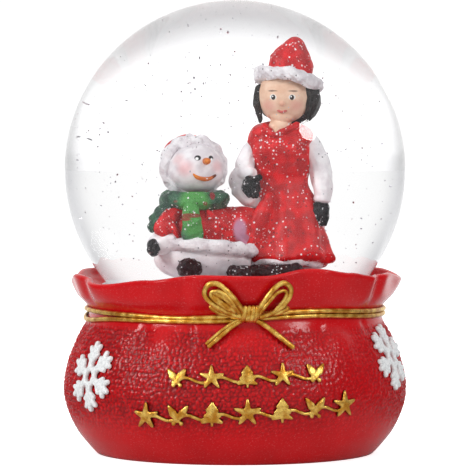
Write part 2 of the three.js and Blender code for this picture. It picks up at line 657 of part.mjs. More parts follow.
// ---- The light: a small round board on the post, and a domed lamp that reaches into the stopper.
const BOARD_LOW = 19.7;
const BOARD_TOP = 20.9;
add("light_board", cylinder(6.4, BOARD_LOW, BOARD_TOP, 0, 0, 20), BOARD);
const LAMP = { r: 2.5, flange: 2.9, low: BOARD_TOP + GAP, top: 28.6 };
add(
  "led_lamp",
  turned([
    [0, LAMP.low],
    [LAMP.flange, LAMP.low],
    [LAMP.flange, LAMP.low + 1],
    [LAMP.r, LAMP.low + 1],
    ...arc(LAMP.top - LAMP.r, LAMP.r, 0, 90, 4),
  ], 12),
  GLASS_CLEAR,
);

// ---- The slide switch on the bottom plate, and its knob, which reaches through the plate's slot.
const switchBody = solid(block([-4.8, 4.8], [SWITCH_Y - 2.6, SWITCH_Y + 2.6], [CASE_LOW, 9]));
const knobRoom = solid(block([-3.7, 3.7], [SWITCH_Y - 1.8, SWITCH_Y + 1.8], [0, 6.8]));
add("switch_body", geometryOf(switchBody.subtract(knobRoom)), BLACK_PAINT);
const KNOB_X = -SWITCH_TRAVEL / 2;
const knob = join([
  solid(block([KNOB_X - 1.1, KNOB_X + 1.1], [SWITCH_Y - 1.1, SWITCH_Y + 1.1], [1, 5.3])),
  solid(block([KNOB_X - 2.1, KNOB_X + 2.1], [SWITCH_Y - 1.4, SWITCH_Y + 1.4], [5.2, 6.4])),
]);
add("switch_knob", geometryOf(knob), BLACK_PAINT);

// ---- The two leads between the switch, the battery case and the light.
const lead = (points) => rod(points, 0.5, 9);
add("lead_red", lead([[2.5, -16, 9.9], [4, -13, 14], [4.5, -9, 18.5], [3.5, -7, 20.3], [3, -6.95, 21]]), RED_WIRE);
add("lead_black", lead([[-10, 0, 18.9], [-10.5, 3, 20.4], [-9, 4.5, 21], [-7.3, 3, 20.6]]), BLACK_WIRE);

// ---- The battery door and its screw.
const door = cut(solid(block(DOOR.x, DOOR.y, [PLATE_LOW, 4.1])), [
  solid(cylinder(1.15, 0, 9, BOSS_X, 0, 12)),
  solid(cylinder(2.1, 0, COUNTERBORE_TOP, BOSS_X, 0, 16)),
]);
add("battery_door", geometryOf(door), WHITE_PLASTIC);
add("door_screw", screw(BOSS_X, 0, PLATE_LOW, 9.6, 1.75, 0.8, 0.6), STEEL);

export default globe;
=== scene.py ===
# A snow globe: a glass ball of water and glitter with two painted figures, on a cast-resin base like a sack.
import json
import math

import bmesh
import bpy
import numpy as np
from mathutils import Euler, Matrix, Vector

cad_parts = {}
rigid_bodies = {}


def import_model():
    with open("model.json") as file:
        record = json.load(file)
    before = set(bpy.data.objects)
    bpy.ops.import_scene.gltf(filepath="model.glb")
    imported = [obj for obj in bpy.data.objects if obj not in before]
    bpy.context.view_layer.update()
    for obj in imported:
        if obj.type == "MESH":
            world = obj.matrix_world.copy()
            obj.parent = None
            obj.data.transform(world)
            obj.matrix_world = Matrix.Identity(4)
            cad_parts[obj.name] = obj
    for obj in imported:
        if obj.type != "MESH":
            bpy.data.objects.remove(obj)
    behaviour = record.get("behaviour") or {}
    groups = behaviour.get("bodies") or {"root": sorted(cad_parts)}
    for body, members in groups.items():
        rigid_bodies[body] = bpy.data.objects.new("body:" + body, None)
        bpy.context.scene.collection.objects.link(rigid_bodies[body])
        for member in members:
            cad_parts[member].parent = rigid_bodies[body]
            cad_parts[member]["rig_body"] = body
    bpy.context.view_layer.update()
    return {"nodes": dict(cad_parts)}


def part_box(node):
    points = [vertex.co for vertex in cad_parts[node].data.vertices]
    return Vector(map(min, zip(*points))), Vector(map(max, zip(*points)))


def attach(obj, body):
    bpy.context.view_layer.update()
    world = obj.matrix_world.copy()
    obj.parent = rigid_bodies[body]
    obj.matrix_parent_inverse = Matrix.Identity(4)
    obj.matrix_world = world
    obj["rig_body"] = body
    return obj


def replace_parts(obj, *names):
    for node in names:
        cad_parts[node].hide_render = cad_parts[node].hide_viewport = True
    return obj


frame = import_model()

MM = 0.001  # lengths below are in millimetres, as in the solid model, and pieces are made in metres

# ---- The studio: the globe stands on a white table before a white screen, between grey walls, with a soft
# lamp at the left and one at the right. The camera is in front of the bow and looks down a little.
AIM = Vector((0, 0, 0.0509))  # where the camera looks, in metres
camera = bpy.data.objects.new("camera", bpy.data.cameras.new("camera"))
camera.data.lens = 261
camera.location = (0, -0.8, 0.080)
camera.rotation_euler = (AIM - camera.location).to_track_quat("-Z", "Y").to_euler()
bpy.context.collection.objects.link(camera)
bpy.context.scene.camera = camera
bpy.context.scene.view_settings.view_transform = "Standard"


class Wire:
    """One end of a wire in a shader, added, multiplied and mixed as if it were the value it carries."""

    def __init__(self, tree, socket=None):
        self.tree = tree
        self.socket = socket

    def node(self, kind, inputs=None, output=0, **settings):
        """Adds a node with its settings, then feeds its sockets, and gives back one of its outputs."""
        made = self.tree.nodes.new("ShaderNode" + kind)
        for name, value in settings.items():
            setattr(made, name, value)
        for name, value in (inputs or {}).items():
            if isinstance(value, Wire):
                self.tree.links.new(value.socket, made.inputs[name])
            else:
                made.inputs[name].default_value = value
        return Wire(self.tree, made.outputs[output] if made.outputs else None)

    def math(self, operation, *values):
        return self.node("Math", dict(enumerate(values)), operation=operation)

    def __add__(self, other):
        return self.math("ADD", self, other)

    def __sub__(self, other):
        return self.math("SUBTRACT", self, other)

    def __rsub__(self, other):
        return self.math("SUBTRACT", other, self)

    def __mul__(self, other):
        return self.math("MULTIPLY", self, other)

    def __truediv__(self, other):
        return self.math("DIVIDE", self, other)

    __radd__ = __add__
    __rmul__ = __mul__

    def most(self, other):
        """The larger of two values."""
        return self.math("MAXIMUM", self, other)

    def step(self, low, high):
        """0 below low, 1 above high, smooth between them."""
        ends = {"Value": self, "From Min": low, "From Max": high}
        return self.node("MapRange", ends, interpolation_type="SMOOTHSTEP")

    def mix(self, first, second):
        """The first colour where this is 0 and the second where it is 1."""
        return self.node("Mix", {0: self, 6: first, 7: second}, output=2, data_type="RGBA")

    def part(self, axis):
        """One coordinate of a vector."""
        return self.node("SeparateXYZ", {0: self}, output=axis)

    def away(self, centre, size):
        """Distance from a place, counted in half-sizes of an ellipsoid round it."""
        shifted = self.node("VectorMath", {0: self, 1: centre}, operation="SUBTRACT")
        scaled = self.node("VectorMath", {0: shifted, 1: size}, operation="DIVIDE")
        return self.node("VectorMath", {0: scaled}, output="Value", operation="LENGTH")

    def speckle(self, scale, detail=2.0):
        """Cloudy noise between 0 and 1, with this many lumps per unit length."""
        return self.node("TexNoise", {"Vector": self, "Scale": scale, "Detail": detail})


def tint(code):
    """A colour from its six-digit code."""
    parts = [int(code[i : i + 2], 16) / 255 for i in (0, 2, 4)]
    linear = [v / 12.92 if v <= 0.04045 else ((v + 0.055) / 1.055) ** 2.4 for v in parts]
    return (*linear, 1.0)


def new_finish(name):
    """A new material, the wire end that starts its nodes, and its surface's place in millimetres."""
    made = bpy.data.materials.new(name)
    made.use_nodes = True
    made.node_tree.nodes.clear()
    start = Wire(made.node_tree)
    place = start.node("TexCoord", output="Object")
    return made, start, start.node("VectorMath", {0: place, "Scale": 1 / MM}, operation="SCALE")


def coat_with(start, relief=None, height=0.1, **inputs):
    """Ends a material with one shader: relief is a height map, height its full depth in millimetres."""
    feeds = {name.replace("_", " "): value for name, value in inputs.items()}
    if relief is not None:
        feeds["Normal"] = start.node("Bump", {"Height": relief, "Distance": height * MM, "Strength": 1.0})
    start.node("OutputMaterial", {"Surface": start.node("BsdfPrincipled", feeds)})


def table_finish():
    """White laminate, evenly white and glowing for the camera. All other rays see painted light on it:
    painted shade at both sides, which draws the glass's rim, grey painted shadow round the globe, and a
    painted glow far behind.
    """
    made, start, place = new_finish("table_white")
    cloud = place.speckle(0.02)
    seen = start.node("LightPath", output="Is Camera Ray")
    distance = place.away((0, 0, 0), (1, 1, 1))
    # painted glow: for all but camera rays it glows only far behind the globe, not round it
    far = distance.step(100, 240) * (place.part("Y") / distance).step(0.6, 0.84)
    glow = seen.most(far).mix((0, 0, 0, 1), (1, 1, 1, 1))
    # painted shade: for all but camera rays the table is grey, and dark at both sides
    aside = (start.math("ABSOLUTE", place.part("X")) / distance).step(0.75, 0.95) * distance.step(60, 150)
    white = seen.mix(aside.mix(tint("d6d6d6"), tint("767678")), cloud.mix(tint("f4f4f4"), tint("fbfbfb")))
    coat_with(start, Base_Color=white, Roughness=0.7, Emission_Color=glow, Emission_Strength=0.7)
    return made


bpy.ops.mesh.primitive_plane_add(size=8)
table = bpy.context.object
table.name = "table"
table.data.materials.append(table_finish())

# The screen behind glows, and the walls darken towards both sides.
room = bpy.data.worlds.new("room")
bpy.context.scene.world = room
room.use_nodes = True
room.node_tree.nodes.clear()
room_start = Wire(room.node_tree)
seen = room_start.node("LightPath", output="Is Camera Ray")
outward = room_start.node("TexCoord", output="Generated")
behind = outward.part("Y")
aside = outward.math("ABSOLUTE", outward.part("X"))
walls = behind.step(-0.7, 0.1).mix((0.7, 0.7, 0.71, 1), (0.66, 0.66, 0.68, 1))
walls = (aside.step(0.7, 0.92) * 0.92).mix(walls, (0.12, 0.12, 0.14, 1))
room_light = seen.most(behind.step(0.6, 0.84)).mix(walls, (1.06, 1.06, 1.06, 1))
shade = room_start.node("Background", {"Color": room_light, "Strength": 1.0})
room_start.node("OutputWorld", {"Surface": shade})


def soft_lamp(name, where, towards, size, power):
    """A round lamp of a size in metres and a power in watts."""
    lamp = bpy.data.lights.new(name, "AREA")
    lamp.shape = "DISK"
    lamp.size = size
    lamp.energy = power
    held = bpy.data.objects.new(name, lamp)
    held.location = where
    held.rotation_euler = (Vector(towards) - Vector(where)).to_track_quat("-Z", "Y").to_euler()
    bpy.context.collection.objects.link(held)


soft_lamp("key_lamp", (-0.9, -0.5, 0.5), (0, 0, 0.05), 0.3, 5.8)
for ring, size, power in ((1, 0.24, 2.2), (2, 0.16, 0.6), (3, 0.09, 0.25)):  # brightest in its middle
    soft_lamp(f"right_lamp_{ring}", (0.80, -0.60, 0.52), (0, 0, 0.07), size, power)

# ---- The sack: one hollow casting in resin, sprayed with red enamel, with painted shade darkening the creases. It
# is moulded as pebbled cloth below the tied waist, and as smooth, thick, ruffled cloth above it.
FOOT_R = 32.6
CORD_Z = 33.3
RIM_Z = 41.4
NECK_R = 25.0
SHELF_Z = 27.4  # the shelf inside that the stopper rests on
LEDGE_Z = 4.6  # the ledge inside the foot that the bottom plate is screwed up against
BELLY_R = 39.0
SACK_LINE = [
    (FOOT_R, 0), (34.4, 1.9), (37.3, 5.6), (39.6, 10.6), (40.4, 15.6), (39.3, 21.6),
    (37.1, 27), (34.7, 31.6), (34.6, 34.2), (36.9, 37.2), (38.6, RIM_Z),
]  # outline: [radius, height]
SACK_EDGE = [
    (-180, 42.4), (-158, 43.3), (-135, 41.9), (-112, 41.8), (-92, 39.8), (-76, 41.6), (-53, 39.9),
    (-32, 41.2), (-12, 42.6), (10, 42.4), (28, 43.9), (44, 42.7), (56, 41.7), (71, 42), (92, 40.5),
    (113, 42), (137, 41.7), (160, 43.4), (180, 42.4),
]  # height of the ruffled edge: [degrees from the front towards +X, height]
GLOBE_R = 40.0
GLOBE_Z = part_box("glass_globe")[1].z / MM - GLOBE_R
PEBBLE = 1.05  # width of a pebble
PEBBLE_ROWS = 64  # rows of pebbles before their places repeat
PEBBLE_DEPTH = 0.46  # how deep the creases between pebbles are
SACK_STEPS = 700  # points round the sack
DENTS = [
    (-0.75, -18.5, 3.2), (0.35, -12.5, 2.6), (-0.55, 24, 3.5), (0.3, 33, 4), (-0.9, 61, 3.2), (0.5, 54, 3),
    (-0.8, -66, 4), (0.45, -76, 5), (-0.6, 118, 5), (-0.6, 165, 5), (-0.6, -140, 6),
]  # dents of the thick cloth above the cord: [depth, azimuth in degrees, width in degrees]
GATHERS = [
    (-0.45, -17, 1.3), (0.3, -13.5, 1.8), (-0.4, 5, 4), (-0.35, -36, 2), (-0.35, 34, 2.4), (-0.3, 58, 2),
]  # creases of the cloth just below the cord, given in the same way


def smooth_line(points, steps):
    """Points along a smooth curve through the given ones."""
    p = np.array([points[0], *points, points[-1]], float)
    t = np.linspace(0, len(points) - 1, steps + 1)
    i = np.minimum(t.astype(int), len(points) - 2)
    u = (t - i)[:, None]
    a, b, c, d = p[i], p[i + 1], p[i + 2], p[i + 3]
    return b + 0.5 * u * (c - a + u * (2 * a - 5 * b + 4 * c - d + u * (3 * b - a - 3 * c + d)))


def ease(value, low, high):
    """0 below low, 1 above high, smooth between them."""
    t = np.clip((np.asarray(value, float) - low) / (high - low), 0, 1)
    return t * t * (3 - 2 * t)


def ridge(azimuth, degrees, width):
    """A rounded ridge that runs up the cloth at one azimuth."""
    off = (np.degrees(azimuth) - degrees + 180) % 360 - 180
    return np.exp(-((off / width) ** 2))


def edge_height(azimuth):
    """Height of the ruffled edge at each azimuth."""
    degrees = (np.degrees(azimuth) + 180) % 360 - 180
    stops, heights = np.array(SACK_EDGE).T
    i = np.clip(np.searchsorted(stops, degrees, side="right") - 1, 0, len(stops) - 2)
    share = ease((degrees - stops[i]) / (stops[i + 1] - stops[i]), 0, 1)
    return heights[i] + (heights[i + 1] - heights[i]) * share


def fold(azimuth, z):
    """How far the folds of the cloth stand out."""
    above = ease(z, CORD_Z + 1, RIM_Z)
    below = ease(z, 18, 29) * (1 - ease(z, 29, CORD_Z - 1.6))
    ruffle = 0.5 * np.cos(7 * azimuth + 0.7) + 0.35 * np.cos(12 * azimuth - 0.9)
    pleat = 0.22 * np.cos(17 * azimuth + 1.1) + 0.14 * np.cos(26 * azimuth)
    return above * ruffle + below * pleat


SACK_CURVE = smooth_line(SACK_LINE, 400)


def sack_radius(azimuth, z):
    """The sack's radius to its plain outside, without pebbles and dents."""
    return np.interp(z, SACK_CURVE[:, 1], SACK_CURVE[:, 0]) + fold(azimuth, z)


def cloth_detail(azimuth, z):
    """Dents and creases of the thick cloth above the cord, and gathers just below it."""
    above = ease(z, CORD_Z + 0.4, CORD_Z + 3.5)
    high = ease(z, CORD_Z + 2.5, RIM_Z)
    below = ease(z, 24, 30.5) * (1 - ease(z, 31.2, CORD_Z - 0.6))
    dents = sum(depth * ridge(azimuth, degrees, width) for depth, degrees, width in DENTS)
    gathers = sum(depth * ridge(azimuth, degrees, width) for depth, degrees, width in GATHERS)
    return 0.56 * above * dents * (1 + high) + below * gathers


def pebbles(azimuth, z, size):
    """Relief of a pebbled skin: 0 in the creases and 1 on top of each pebble."""
    around = int(round(2 * math.pi * BELLY_R / size))
    jitter = np.random.default_rng(5).random((around, PEBBLE_ROWS, 2)) * 0.8 + 0.1
    v = z / (size * 0.95)
    u = azimuth / (2 * math.pi) * around + 0.45 * v
    first = np.full(np.shape(u), np.inf)  # distance to the nearest pebble's middle, and to the next one's
    second = first
    for du in (-1, 0, 1):
        for dv in (-1, 0, 1):
            cell_u = np.floor(u).astype(int) + du
            cell_v = np.floor(v).astype(int) + dv
            spot = jitter[cell_u % around, cell_v % PEBBLE_ROWS]
            away = np.hypot(cell_u + spot[..., 0] - u, cell_v + spot[..., 1] - v)
            second = np.minimum(second, np.maximum(first, away))
            first = np.minimum(first, away)
    return ease(second - first, 0.0, 0.55)


def pebbled_part(azimuth, z):
    """Where the skin is pebbled: fully over the belly, less at the gathers and at the foot."""
    low = ease(z, 4, 13)
    high = 1 - ease(z, 29.5, 31.5)
    bare = 0.75 * ease(z, 24, 29) * (ridge(azimuth, -28, 5) + ridge(azimuth, 2, 9) + ridge(azimuth, 44, 6))
    worn = 0.45 * ridge(azimuth, 42, 30)
    return low * high * (1 - np.clip(bare, 0, 0.8)) * (1 - worn)


def on_azimuth(azimuth, r, z):
    """Points at an azimuth from the front, a radius and a height."""
    return np.stack([r * np.sin(azimuth), -r * np.cos(azimuth), z], axis=-1)


def new_piece(name, points, faces, finish, slot, body="globe_base"):
    """A mesh piece from points in millimetres, smooth, with its finish, on its body."""
    mesh = bpy.data.meshes.new(name)
    mesh.from_pydata(np.asarray(points, float) * MM, [], faces)
    mesh.shade_smooth()
    mesh.materials.append(finish)
    piece = bpy.data.objects.new(name, mesh)
    bpy.context.collection.objects.link(piece)
    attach(piece, body)
    return piece


def grid_faces(rows, columns, close_rows=False, close_columns=True):
    """Faces between the points of a grid, with its ends joined where asked."""
    i = np.arange(rows if close_rows else rows - 1)[:, None]
    j = np.arange(columns if close_columns else columns - 1)[None, :]
    a = i * columns + j
    b = i * columns + (j + 1) % columns
    c = ((i + 1) % rows) * columns + (j + 1) % columns
    d = ((i + 1) % rows) * columns + j
    return np.stack([a, b, c, d], axis=-1).reshape(-1, 4).tolist()


def sack_rows():
    """Heights of the rows of points up the outside: close together where the skin is pebbled."""
    length = np.concatenate([[0], np.cumsum(np.hypot(*np.diff(SACK_CURVE, axis=0).T))])
    marks = [(0, 0.8), (4, 0.4), (length[-1] - 11.5, 0.4), (length[-1], 0.7)]
    stops = [0.0]
    while stops[-1] < length[-1]:
        stops.append(stops[-1] + np.interp(stops[-1], *np.array(marks).T))
    stops = np.array(stops) * length[-1] / stops[-1]
    return np.interp(stops, length, SACK_CURVE[:, 1])


def sack_mesh():
    """Points up the outside, over the lip and down the inside, and how deep in a crease each one lies."""
    azimuth = np.arange(SACK_STEPS) / SACK_STEPS * 2 * math.pi
    z = sack_rows()[:, None]
    skin = pebbled_part(azimuth, z)
    grain = pebbles(azimuth[None, :], z, PEBBLE)
    r = sack_radius(azimuth, z) + cloth_detail(azimuth, z)
    r = r - PEBBLE_DEPTH * skin * (1 - grain) - 0.1
    edge = edge_height(azimuth)
    lifted = z + (edge - RIM_Z) * ease(z, CORD_Z + 1, RIM_Z)
    outside = on_azimuth(azimuth, r, lifted)
    rim = r[-1]
    lip = [
        (rim - 0.12, edge + 0.32), (rim - 0.4, edge + 0.55), (rim - 0.9, edge + 0.65),
        (rim - 1.4, edge + 0.52), (rim - 1.7, edge + 0.2), (rim - 1.95, edge - 0.5), (rim - 2.4, edge - 1.4),
        ((rim + 33.5) / 2 - 0.4, 39.8 + (edge - RIM_Z) * 0.5),
    ]
    hidden = [
        (33.6, 39), (31.8, 38.4), (29.4, 37.9), (27.3, 36.1), (25.7, 34.9), (NECK_R + 0.5, 34.4),
        (NECK_R + 0.5, SHELF_Z), (19, SHELF_Z), (19, SHELF_Z - 3), (30.8, SHELF_Z - 3), (36, 16.5),
        (34.4, 8.6), (31, 6.6), (25.5, 6.6), (25.5, LEDGE_Z), (30, LEDGE_Z), (30, 0.25), (30.25, 0),
        (32.2, 0),
    ]
    inside = [on_azimuth(azimuth, *pair) for pair in lip]
    inside += [on_azimuth(azimuth, 0 * edge + wall, 0 * edge + height) for wall, height in hidden]
    points = np.concatenate([outside, np.stack(inside)])
    crease = np.zeros(points.shape[:2])
    crease[: len(z)] = skin * (1 - grain)
    return points, crease


def sack_enamel():
    """Red enamel, glossy all over, with painted shade in the creases and chalky rubbed pebble tops that
    double as painted glints.
    """
    made, start, place = new_finish("sack_enamel")
    crease = start.node("Attribute", output="Fac", attribute_name="crease")
    cloud = place.speckle(0.09, 3.0)
    fine = place.speckle(3.0, 3.0)
    red = cloud.step(0.3, 0.7).mix(tint("c60a11"), tint("d40f16"))
    # painted shade: the creases between pebbles are darkened towards deep red
    red = crease.mix(red, tint("7a060b"))
    # chalky rubbed tops: partly wear, partly painted glints on the pebbles
    wear_and_glint = (1 - crease) * fine.step(0.55, 0.75) * crease.step(-0.2, 0.05)
    red = (wear_and_glint * 0.25).mix(red, tint("e8888c"))
    gloss = 0.15 + crease * 0.2 + cloud * 0.06
    coat_with(start, relief=fine, height=0.02, Base_Color=red, Roughness=gloss, Specular_IOR_Level=0.24)
    return made


sack_points, sack_crease = sack_mesh()
sack_faces = grid_faces(*sack_points.shape[:2], close_rows=True)
sack = new_piece("sack", sack_points.reshape(-1, 3), sack_faces, sack_enamel(), "red_resin")
sack.data.attributes.new("crease", "FLOAT", "POINT").data.foreach_set("value", sack_crease.ravel())
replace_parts(sack, "sack_base")

# ---- The gold cord: two turns of cord moulded in resin on the waist and painted gold, with painted shade on the
# sides of each strand, deepest next to the sack. The turns part a little at the left and meet again at the
# knot.
KNOT = 0.09  # azimuth of the knot, in radians from the front
KNOT_HALF = 0.03  # half the width that the knot covers, in radians
CORD_R = 0.54
CORD_APART = 0.56  # height of each turn above or below the middle of the waist


def gold_paint():
    """Gold metallic paint, brightest on the crowns, with painted shade in brown where the surface turns to
    the cloth.
    """
    made, start, place = new_finish("gold_paint")
    crease = start.node("Attribute", output="Fac", attribute_name="crease")
    cloud = place.speckle(0.5, 3.0)
    fine = place.speckle(4.0, 3.0)
    gold = cloud.step(0.35, 0.65).mix(tint("c78828"), tint("f6d06a"))
    # painted shade: brown where the crease value is high, next to the cloth
    gold = crease.step(0.35, 0.95).mix(gold, tint("3d1c07"))
    gold = (fine.step(0.55, 0.68) * 0.6).mix(gold, tint("5b2c0c"))
    coat_with(start, relief=fine, height=0.06, Base_Color=gold, Roughness=0.2 + fine * 0.2, Metallic=0.8)
    return made


GOLD = gold_paint()


def cord_piece(name, path, radius, steps, sides=16, wobble=0.06):
    """A round strand with rounded ends. Its crease value, which the gold paint turns into painted shade, is
    highest on the side next to the sack.
    """
    line = smooth_line(path, steps)
    along = np.gradient(line, axis=0)
    along /= np.linalg.norm(along, axis=1)[:, None]
    out = line * (1, 1, 0)
    out = out - (out * along).sum(1)[:, None] * along
    out /= np.linalg.norm(out, axis=1)[:, None]
    across = np.cross(along, out)
    distance = np.concatenate([[0], np.cumsum(np.linalg.norm(np.diff(line, axis=0), axis=1))])
    to_end = np.minimum(distance, distance[-1] - distance)
    cap = np.sqrt(np.clip(1 - (1 - np.clip(to_end / radius, 0, 1)) ** 2, 0.0025, 1))
    turn = np.arange(sides) / sides * 2 * math.pi
    lumps = 1 + wobble * np.sin(distance * 1.9) * np.cos(distance * 0.7)
    size = (radius * cap * lumps)[:, None, None]
    rings = np.cos(turn)[:, None] * out[:, None] + np.sin(turn)[:, None] * across[:, None]
    points = (line[:, None] + size * rings).reshape(-1, 3)
    faces = grid_faces(len(line), sides)
    faces += [list(range(sides))[::-1], [len(points) - sides + i for i in range(sides)]]
    piece = new_piece(name, points, [face[::-1] for face in faces], GOLD, "gold_paint")
    crease = np.broadcast_to(0.55 - 0.55 * np.cos(turn), (len(line), sides))
    piece.data.attributes.new("crease", "FLOAT", "POINT").data.foreach_set("value", crease.ravel())
    return piece


def off_sack(azimuth, z, out):
    """A point set off the sack's surface by a distance."""
    slope = (sack_radius(azimuth, z + 0.4) - sack_radius(azimuth, z - 0.4)) / 0.8
    size = np.hypot(1, slope)
    return on_azimuth(azimuth, sack_radius(azimuth, z) + out / size, z - out * slope / size)


def cord_turn(name, height):
    """One turn of cord, from one side of the knot to the other."""
    azimuth = KNOT + KNOT_HALF + np.linspace(0, 1, 60) * 2 * (math.pi - KNOT_HALF)
    z = height(azimuth)
    r = sack_radius(azimuth, z) + CORD_R * 0.75
    turn = cord_piece(name, on_azimuth(azimuth, r, z), CORD_R, 420)
    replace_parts(turn, name.replace("cord", "cord_turn"))


def sway(azimuth):
    """The cord lies a little high at the right of the front and low at the left."""
    return ridge(azimuth, 28, 26) - 0.4 * ridge(azimuth, -22, 26) - 0.6 * ridge(azimuth, -78, 22)


def split(azimuth):
    """The turns part at the left and run together before the knot."""
    return 0.6 * ridge(azimuth, -78, 18) - 0.2 * ridge(azimuth, -22, 14)


cord_turn("cord_upper", lambda a: CORD_Z + CORD_APART + sway(a) + split(a))
cord_turn("cord_lower", lambda a: CORD_Z - CORD_APART + sway(a) - split(a))

# ---- The bow: a wrapped knot, a crumpled loop at the left, an open loop at the right and two tails, all made
# of strands of the same cord. They are moulded in resin on the cloth and painted with the same gold.
BOW_RISE = 1.0  # how far the bow sits above the waist


def bow_path(points):
    """Points given as [degrees from the knot, height from the bow's middle, distance from the cloth]."""
    return [off_sack(KNOT + math.radians(d), CORD_Z + BOW_RISE + z, out) for d, z, out in points]


def join_pieces(name, parts, *nodes):
    """Joins pieces that are one moulding, and lets the result stand for its solids."""
    for part in parts[1:]:
        del part["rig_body"]
    with bpy.context.temp_override(
        active_object=parts[0], object=parts[0], selected_objects=parts, selected_editable_objects=parts
    ):
        bpy.ops.object.join()
    parts[0].name = name
    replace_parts(parts[0], *nodes)


def bow_knot():
    """Four strands side by side that wrap over the waist."""
    wraps = []
    for i, shift in enumerate((-1.35, -0.45, 0.45, 1.35)):
        reach = [(-1.9, 0.5), (-1.2, 1.8), (0.0, 2.4 - 0.25 * abs(shift)), (1.3, 1.8), (2.1, 0.5)]
        path = bow_path([(math.degrees(shift / 36) + 0.25 * z, 0.4 + z, out) for z, out in reach])
        wraps.append(cord_piece(f"wrap_{i}", path, 0.62, 24, sides=12))
    join_pieces("bow_wraps", wraps, "bow_knot")


bow_knot()
LOOP_LEFT = [
    (-1.5, 0.9, 1.6), (-4.2, 3.4, 1.5), (-7.4, 5.8, 1.3), (-10.6, 7.2, 1.1), (-13.6, 7.1, 1.0),
    (-15.2, 5.7, 1.0), (-14.4, 4.2, 1.2), (-10.6, 2.6, 1.5), (-5.6, 1.2, 1.7), (-1.5, 0.2, 1.7),
]
LOOP_LEFT_INNER = [
    (-3.6, 1.6, 1.9), (-6.2, 3.9, 1.8), (-9.4, 5.8, 1.6), (-12.4, 5.9, 1.4), (-13, 4.9, 1.4),
    (-10.6, 3.5, 1.6), (-6.6, 2.2, 1.9),
]
CRUMPLE = [
    [(-4.4, 1.9, 1.3), (-7.4, 3.8, 1.4), (-10.6, 5.2, 1.2), (-12.6, 5.9, 1.0)],
    [(-4.8, 1.5, 1.3), (-7.8, 2.9, 1.5), (-10.9, 4.2, 1.3), (-12.9, 5.0, 1.0)],
    [(-5.4, 2.9, 1.2), (-8.4, 4.9, 1.3), (-11.4, 6.1, 1.0)],
    [(-1.5, 0.2, 1.5), (-6, 0.3, 1.2), (-10.4, 1.0, 0.9), (-14.2, 2.4, 0.6)],
    [(-2.5, 0.9, 1.6), (-7, 1.2, 1.3), (-11.4, 2.2, 1.0), (-13.6, 3.4, 0.8)],
]
left_parts = [cord_piece("loop_left_0", bow_path(LOOP_LEFT), 0.6, 90)]
left_parts.append(cord_piece("loop_left_1", bow_path(LOOP_LEFT_INNER), 0.42, 70))
for i, path in enumerate(CRUMPLE):
    left_parts.append(cord_piece(f"crumple_{i}", bow_path(path), 0.58, 40, wobble=0.25))
join_pieces("bow_left", left_parts, "bow_loop_left")

LOOP_RIGHT = [
    (2.0, 1.0, 1.6), (4.8, 3.8, 1.4), (7.8, 6.3, 1.2), (11, 7.3, 1.1), (13.7, 6.3, 1.0), (13.4, 4.2, 1.2),
    (9.8, 2.0, 1.5), (3.2, 0.2, 1.8),
]
LOOP_RIGHT_INNER = [
    (2.6, 0.8, 1.9), (5.6, 3.2, 1.8), (8.4, 5.2, 1.6), (11, 5.9, 1.5), (12.3, 5.2, 1.4), (11.4, 3.7, 1.5),
    (8.4, 2.0, 1.9),
]
SLACK = [(1.5, 0.2, 1.5), (5, 0.6, 1.3), (9.5, 0.9, 1.0), (14.5, 1.9, 0.6)]
right_parts = [cord_piece("loop_right_0", bow_path(LOOP_RIGHT), 0.6, 90)]
right_parts.append(cord_piece("loop_right_1", bow_path(LOOP_RIGHT_INNER), 0.4, 80))
right_parts.append(cord_piece("slack_right", bow_path(SLACK), 0.62, 40, wobble=0.25))
join_pieces("bow_right", right_parts, "bow_loop_right")

TAIL_LEFT = [(-1.6, -0.8, 1.2), (-5.2, -2.7, 1.1), (-9.8, -5.0, 0.8), (-14.6, -7.6, 0.6)]
TAIL_LEFT_TWIN = [(-2.6, -0.6, 0.9), (-6.2, -2.2, 0.9), (-10.8, -4.4, 0.6), (-15.4, -6.9, 0.45)]
tail_parts = [cord_piece("tail_left_0", bow_path(TAIL_LEFT), 0.5, 50)]
tail_parts.append(cord_piece("tail_left_1", bow_path(TAIL_LEFT_TWIN), 0.42, 50))
join_pieces("bow_end_left", tail_parts, "bow_tail_left")
TAIL_RIGHT = [(1.6, -0.8, 1.2), (5.4, -2.7, 1.1), (10.2, -5.2, 0.8), (15.6, -7.9, 0.5)]
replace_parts(cord_piece("bow_end_right", bow_path(TAIL_RIGHT), 0.6, 50), "bow_tail_right")

# ---- The snowflakes: three flat resin castings of one pattern, painted white and stuck on the belly. Their
# model, like those of the garlands and the figures, is made of lumps of clay: a lump is its surface, as
# points and faces, and kneading joins lumps into one smooth skin.
FLAKE_THICK = 0.95
BEAD_STEP = 0.3  # distance between the beads of a roll, as a share of its thinnest radius


def marble(rounds):
    """Points and faces of a round ball of radius 1."""
    clay = bmesh.new()
    bmesh.ops.create_icosphere(clay, subdivisions=rounds, radius=1)
    points = np.array([v.co for v in clay.verts])
    faces = np.array([[v.index for v in face.verts] for face in clay.faces])
    clay.free()
    return points, faces


FINE_MARBLE = marble(4)
SMALL_MARBLE = marble(2)


def ball(centre, radii, tilt=(0, 0, 0)):
    """An egg-shaped lump: its middle, its half-sizes and its tilt in degrees."""
    turn = np.array(Euler([math.radians(a) for a in tilt]).to_matrix())
    points, faces = FINE_MARBLE
    return (points * radii) @ turn.T + centre, faces


